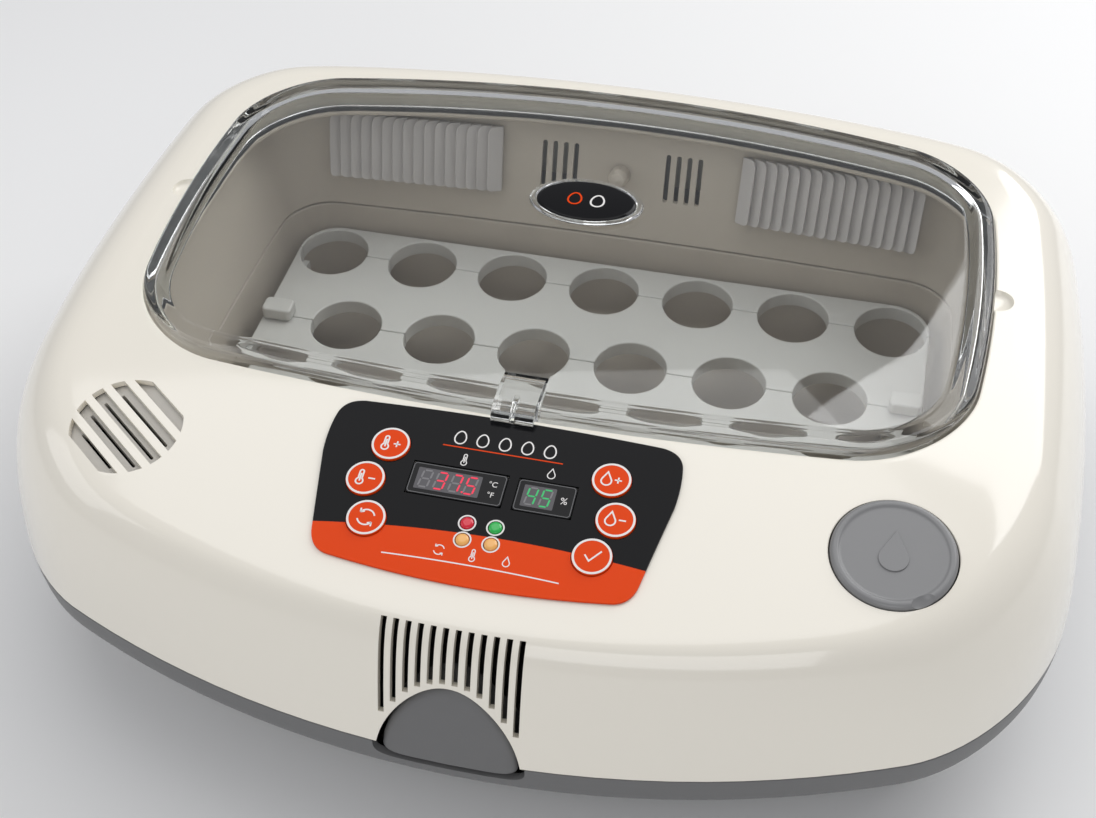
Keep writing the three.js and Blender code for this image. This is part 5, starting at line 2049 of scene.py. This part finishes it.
@dataclass
class Window(SubAssembly):
    """The clear lift-off window with its thick rim, oval badge, seal and front latch."""

    body: str = "window"
    latch_half: float = 8.6
    latch_front: float = -69.0
    latch_back: float = -51.0
    latch_low: float = 140.6
    badge_at: tuple[float, float] = (0.0, 63.0)
    badge_r: float = 26.0
    badge_share: float = 0.615

    def build(self) -> None:
        """Builds the window's pieces."""
        self.build_pane()
        self.build_latch()
        self.build_badge()
        self.dress("window_seal", Finish.RUBBER)

    def build_pane(self) -> None:
        """Builds the pane: a level sheet inside a raised, rounded rim with a deep skirt."""
        angles = CHAMBER_AROUND
        skirt = LEDGE + 2.6

        def shrunk(ring: np.ndarray, share: float, lift: float) -> np.ndarray:
            """A ring drawn in towards the middle, kept on the crown."""
            y = PLAN_CENTRE + (ring[:, 1] - PLAN_CENTRE) * share
            return np.column_stack([ring[:, 0] * share, y, CROWN.height(y) + lift])

        edge = OPENING.ring(angles, -12.5, CROWN.over(2.4))
        soffit = OPENING.ring(angles, -10.5, CROWN.over(-0.6))
        rim = [
            edge, OPENING.ring(angles, -9.8, CROWN.over(3.7)), OPENING.ring(angles, -5, CROWN.over(4.4)),
            OPENING.ring(angles, -1.9, CROWN.over(4.2)), OPENING.ring(angles, -0.8, CROWN.over(2.4)),
            OPENING.ring(angles, -0.8, skirt), OPENING.ring(angles, -3.6, skirt),
            OPENING.ring(angles, -5.2, CROWN.over(-1.2)), soffit,
        ]
        rim = filleted([shrunk(edge, 0.9, 2.4), *rim, shrunk(soffit, 0.9, -0.6)],
                       [0, 1.2, 1.2, 1.2, 1.5, 0.8, 0.6, 0.6, 1.0, 1.4, 0], False, 4)
        over = [shrunk(edge, share, 2.4) for share in (0.15, 0.3, 0.45, 0.6, 0.75)]
        under = [shrunk(soffit, share, -0.6) for share in (0.75, 0.6, 0.45, 0.3, 0.15)]
        hubs = tuple(np.array([0, PLAN_CENTRE, CROWN.level + lift]) for lift in (2.4, -0.6))
        piece = lofted([*over, *rim, *under], hubs=hubs).piece("window_sheet")
        carve(piece, [block(-self.latch_half - 0.5, self.latch_half + 0.5, -80, self.latch_back + 2.2,
                            self.latch_low - 1.2, 160)])
        self.fit(smooth(piece, 38, True), Finish.WINDOW, "window_clear", "window_pane")

    def build_latch(self) -> None:
        """Builds the clear latch with its finger lip and centre groove."""
        profile = [
            (self.latch_front + 1.0, self.latch_low), (self.latch_back, self.latch_low),
            (self.latch_back, 149.0), (-57, 151), (-69.5, 151), (-74.5, 147.4), (-74.5, 145.2),
            (self.latch_front + 1.0, 145.2),
        ]
        corners = [np.array(corner, float) for corner in profile]
        outline = filleted(corners, [0.8, 1.2, 1.5, 3, 3, 2, 0.8, 0.8], True, 4)
        form = prism(outline, -self.latch_half, self.latch_half).moved(STANDING_YZ)
        piece = form.piece("window_latch_block")
        groove = np.array(rounded_box(2.0, 30, 0.9, 3)) + (0, 160.6)
        carve(piece, [prism(groove, 64, 82).moved(STANDING_XZ)])
        soften(piece, 0.5, 3, 50)
        self.fit(smooth(piece, 40, True), Finish.WINDOW, "window_clear", "window_latch", body="latch")

    def build_badge(self) -> None:
        """Builds the oval badge: a clear rim, a black field and a plain egg sign."""
        x, y = self.badge_at
        place = Matrix.Translation((x, y, CROWN.level + 2.4))
        r = self.badge_r
        rim = turned([[r - 3.0, 0.35], [r, 0.35], [r, 1.1], [r - 1.0, 1.8], [r - 3.0, 1.8]], 96, 0.4, True)
        piece = rim.scaled(1, self.badge_share, 1).moved(place).piece("window_badge_rim")
        self.fit(smooth(piece, 40), Finish.WINDOW, "window_clear")
        inner = r - 3.3
        line = [[0, 0.35], [inner, 0.35], [inner, 1.3], [inner - 1.5, 1.9], [0, 2.15]]
        oval = turned(line, 96, 0.5).scaled(1, self.badge_share, 1).moved(place)
        self.fit(smooth(oval.piece("window_badge_field"), 40), Finish.GLOSS_BLACK, "panel_black",
                 "window_badge")
        printer = Printer()
        on_badge = place @ Matrix.Translation((0, 0, 2.14))
        eggs = [(Marks.shifted(Marks.egg(), -5.2, 0, 0.95), Finish.ORANGE, "window_badge_egg_orange"),
                (Marks.shifted(Marks.egg(), 5.2, 0, 0.95), Finish.WHITE, "window_badge_egg_white")]
        for lines, finish, name in eggs:
            self.fit(printer.draw(lines, 0.8).moved(on_badge).piece(name), finish, "panel_black")


# ---------------------------------------------------------------- studio


@dataclass
class Studio:
    """A pale floor, soft lights and the camera."""

    aim: tuple[float, float, float] = (6.0, -39.0, 120.0)
    distance: float = 663.5
    azimuth: float = 14.16
    elevation: float = 45.3
    roll: float = -1.185
    lens: float = 52.09
    floor_half: float = 6000.0

    def build(self) -> None:
        """Builds the floor, the lights and the camera."""
        size = self.floor_half
        floor = block(-size, size, -size, size, -20, 0).piece("studio_floor")
        paint = Moulded("studio_paper", (0.90, 0.90, 0.895), 0.7, 0.0, 40, 0.0, 0.0, 0.0, shine=0.2)
        floor.data.materials.append(paint.material())
        self.add_world()
        self.add_light("key_softbox", (620, 760, 900), 900, 7.6)
        self.add_light("top_softbox", (-150, 250, 1300), 1000, 3.8)
        self.add_light("left_softbox", (-1200, -350, 800), 800, 2.3)
        self.add_light("front_softbox", (300, -1500, 800), 900, 4.2)
        self.add_camera()

    @staticmethod
    def add_world() -> None:
        """Adds an even pale surround."""
        world = bpy.data.worlds.new("studio_world")
        world.use_nodes = True
        sky = world.node_tree.nodes["Background"]
        sky.inputs["Color"].default_value = (0.95, 0.96, 1.0, 1.0)
        sky.inputs["Strength"].default_value = 0.41
        bpy.context.scene.world = world
        bpy.context.scene.view_settings.view_transform = "Standard"

    def add_light(self, name: str, at: tuple[float, float, float], size: float, power: float) -> None:
        """Adds a square soft light that faces the incubator.

        Args:
            name: The light's name.
            at: Its place.
            size: Its side.
            power: Its power in watts.
        """
        data = bpy.data.lights.new(name, "AREA")
        data.size = size * MM
        data.energy = power
        light = bpy.data.objects.new(name, data)
        bpy.context.scene.collection.objects.link(light)
        place = Vector(at) * MM
        light.location = place
        light.rotation_euler = (Vector(self.aim) * MM - place).to_track_quat("-Z", "Y").to_euler()

    def add_camera(self) -> None:
        """Adds the camera, above and a little to the right of the front."""
        data = bpy.data.cameras.new("studio_camera")
        data.lens = self.lens
        data.sensor_width = 36.0
        data.clip_start = 0.01
        camera = bpy.data.objects.new("studio_camera", data)
        bpy.context.scene.collection.objects.link(camera)
        turn, rise = math.radians(self.azimuth), math.radians(self.elevation)
        back = Vector((math.sin(turn) * math.cos(rise), -math.cos(turn) * math.cos(rise), math.sin(rise)))
        camera.location = (Vector(self.aim) + back * self.distance) * MM
        look = (-back).to_track_quat("-Z", "Y").to_matrix()
        camera.rotation_euler = (look @ Matrix.Rotation(math.radians(self.roll), 3, "Z")).to_euler()
        bpy.context.scene.camera = camera


def main() -> None:
    """Builds the incubator's looks, sub-assembly by sub-assembly."""
    logging.basicConfig(level=logging.INFO, format="%(name)s: %(message)s")
    parts = (BaseBowl(), FrontCatch(), EggTray(), Chamber(), LidShell(), PowerInlet(), WaterFiller(),
             VentPort(), ControlPanel(), Window())
    for part in parts:
        LOG.info("building %s", type(part).__name__)
        part.build()
    Studio().build()


if __name__ == "__main__":
    main()
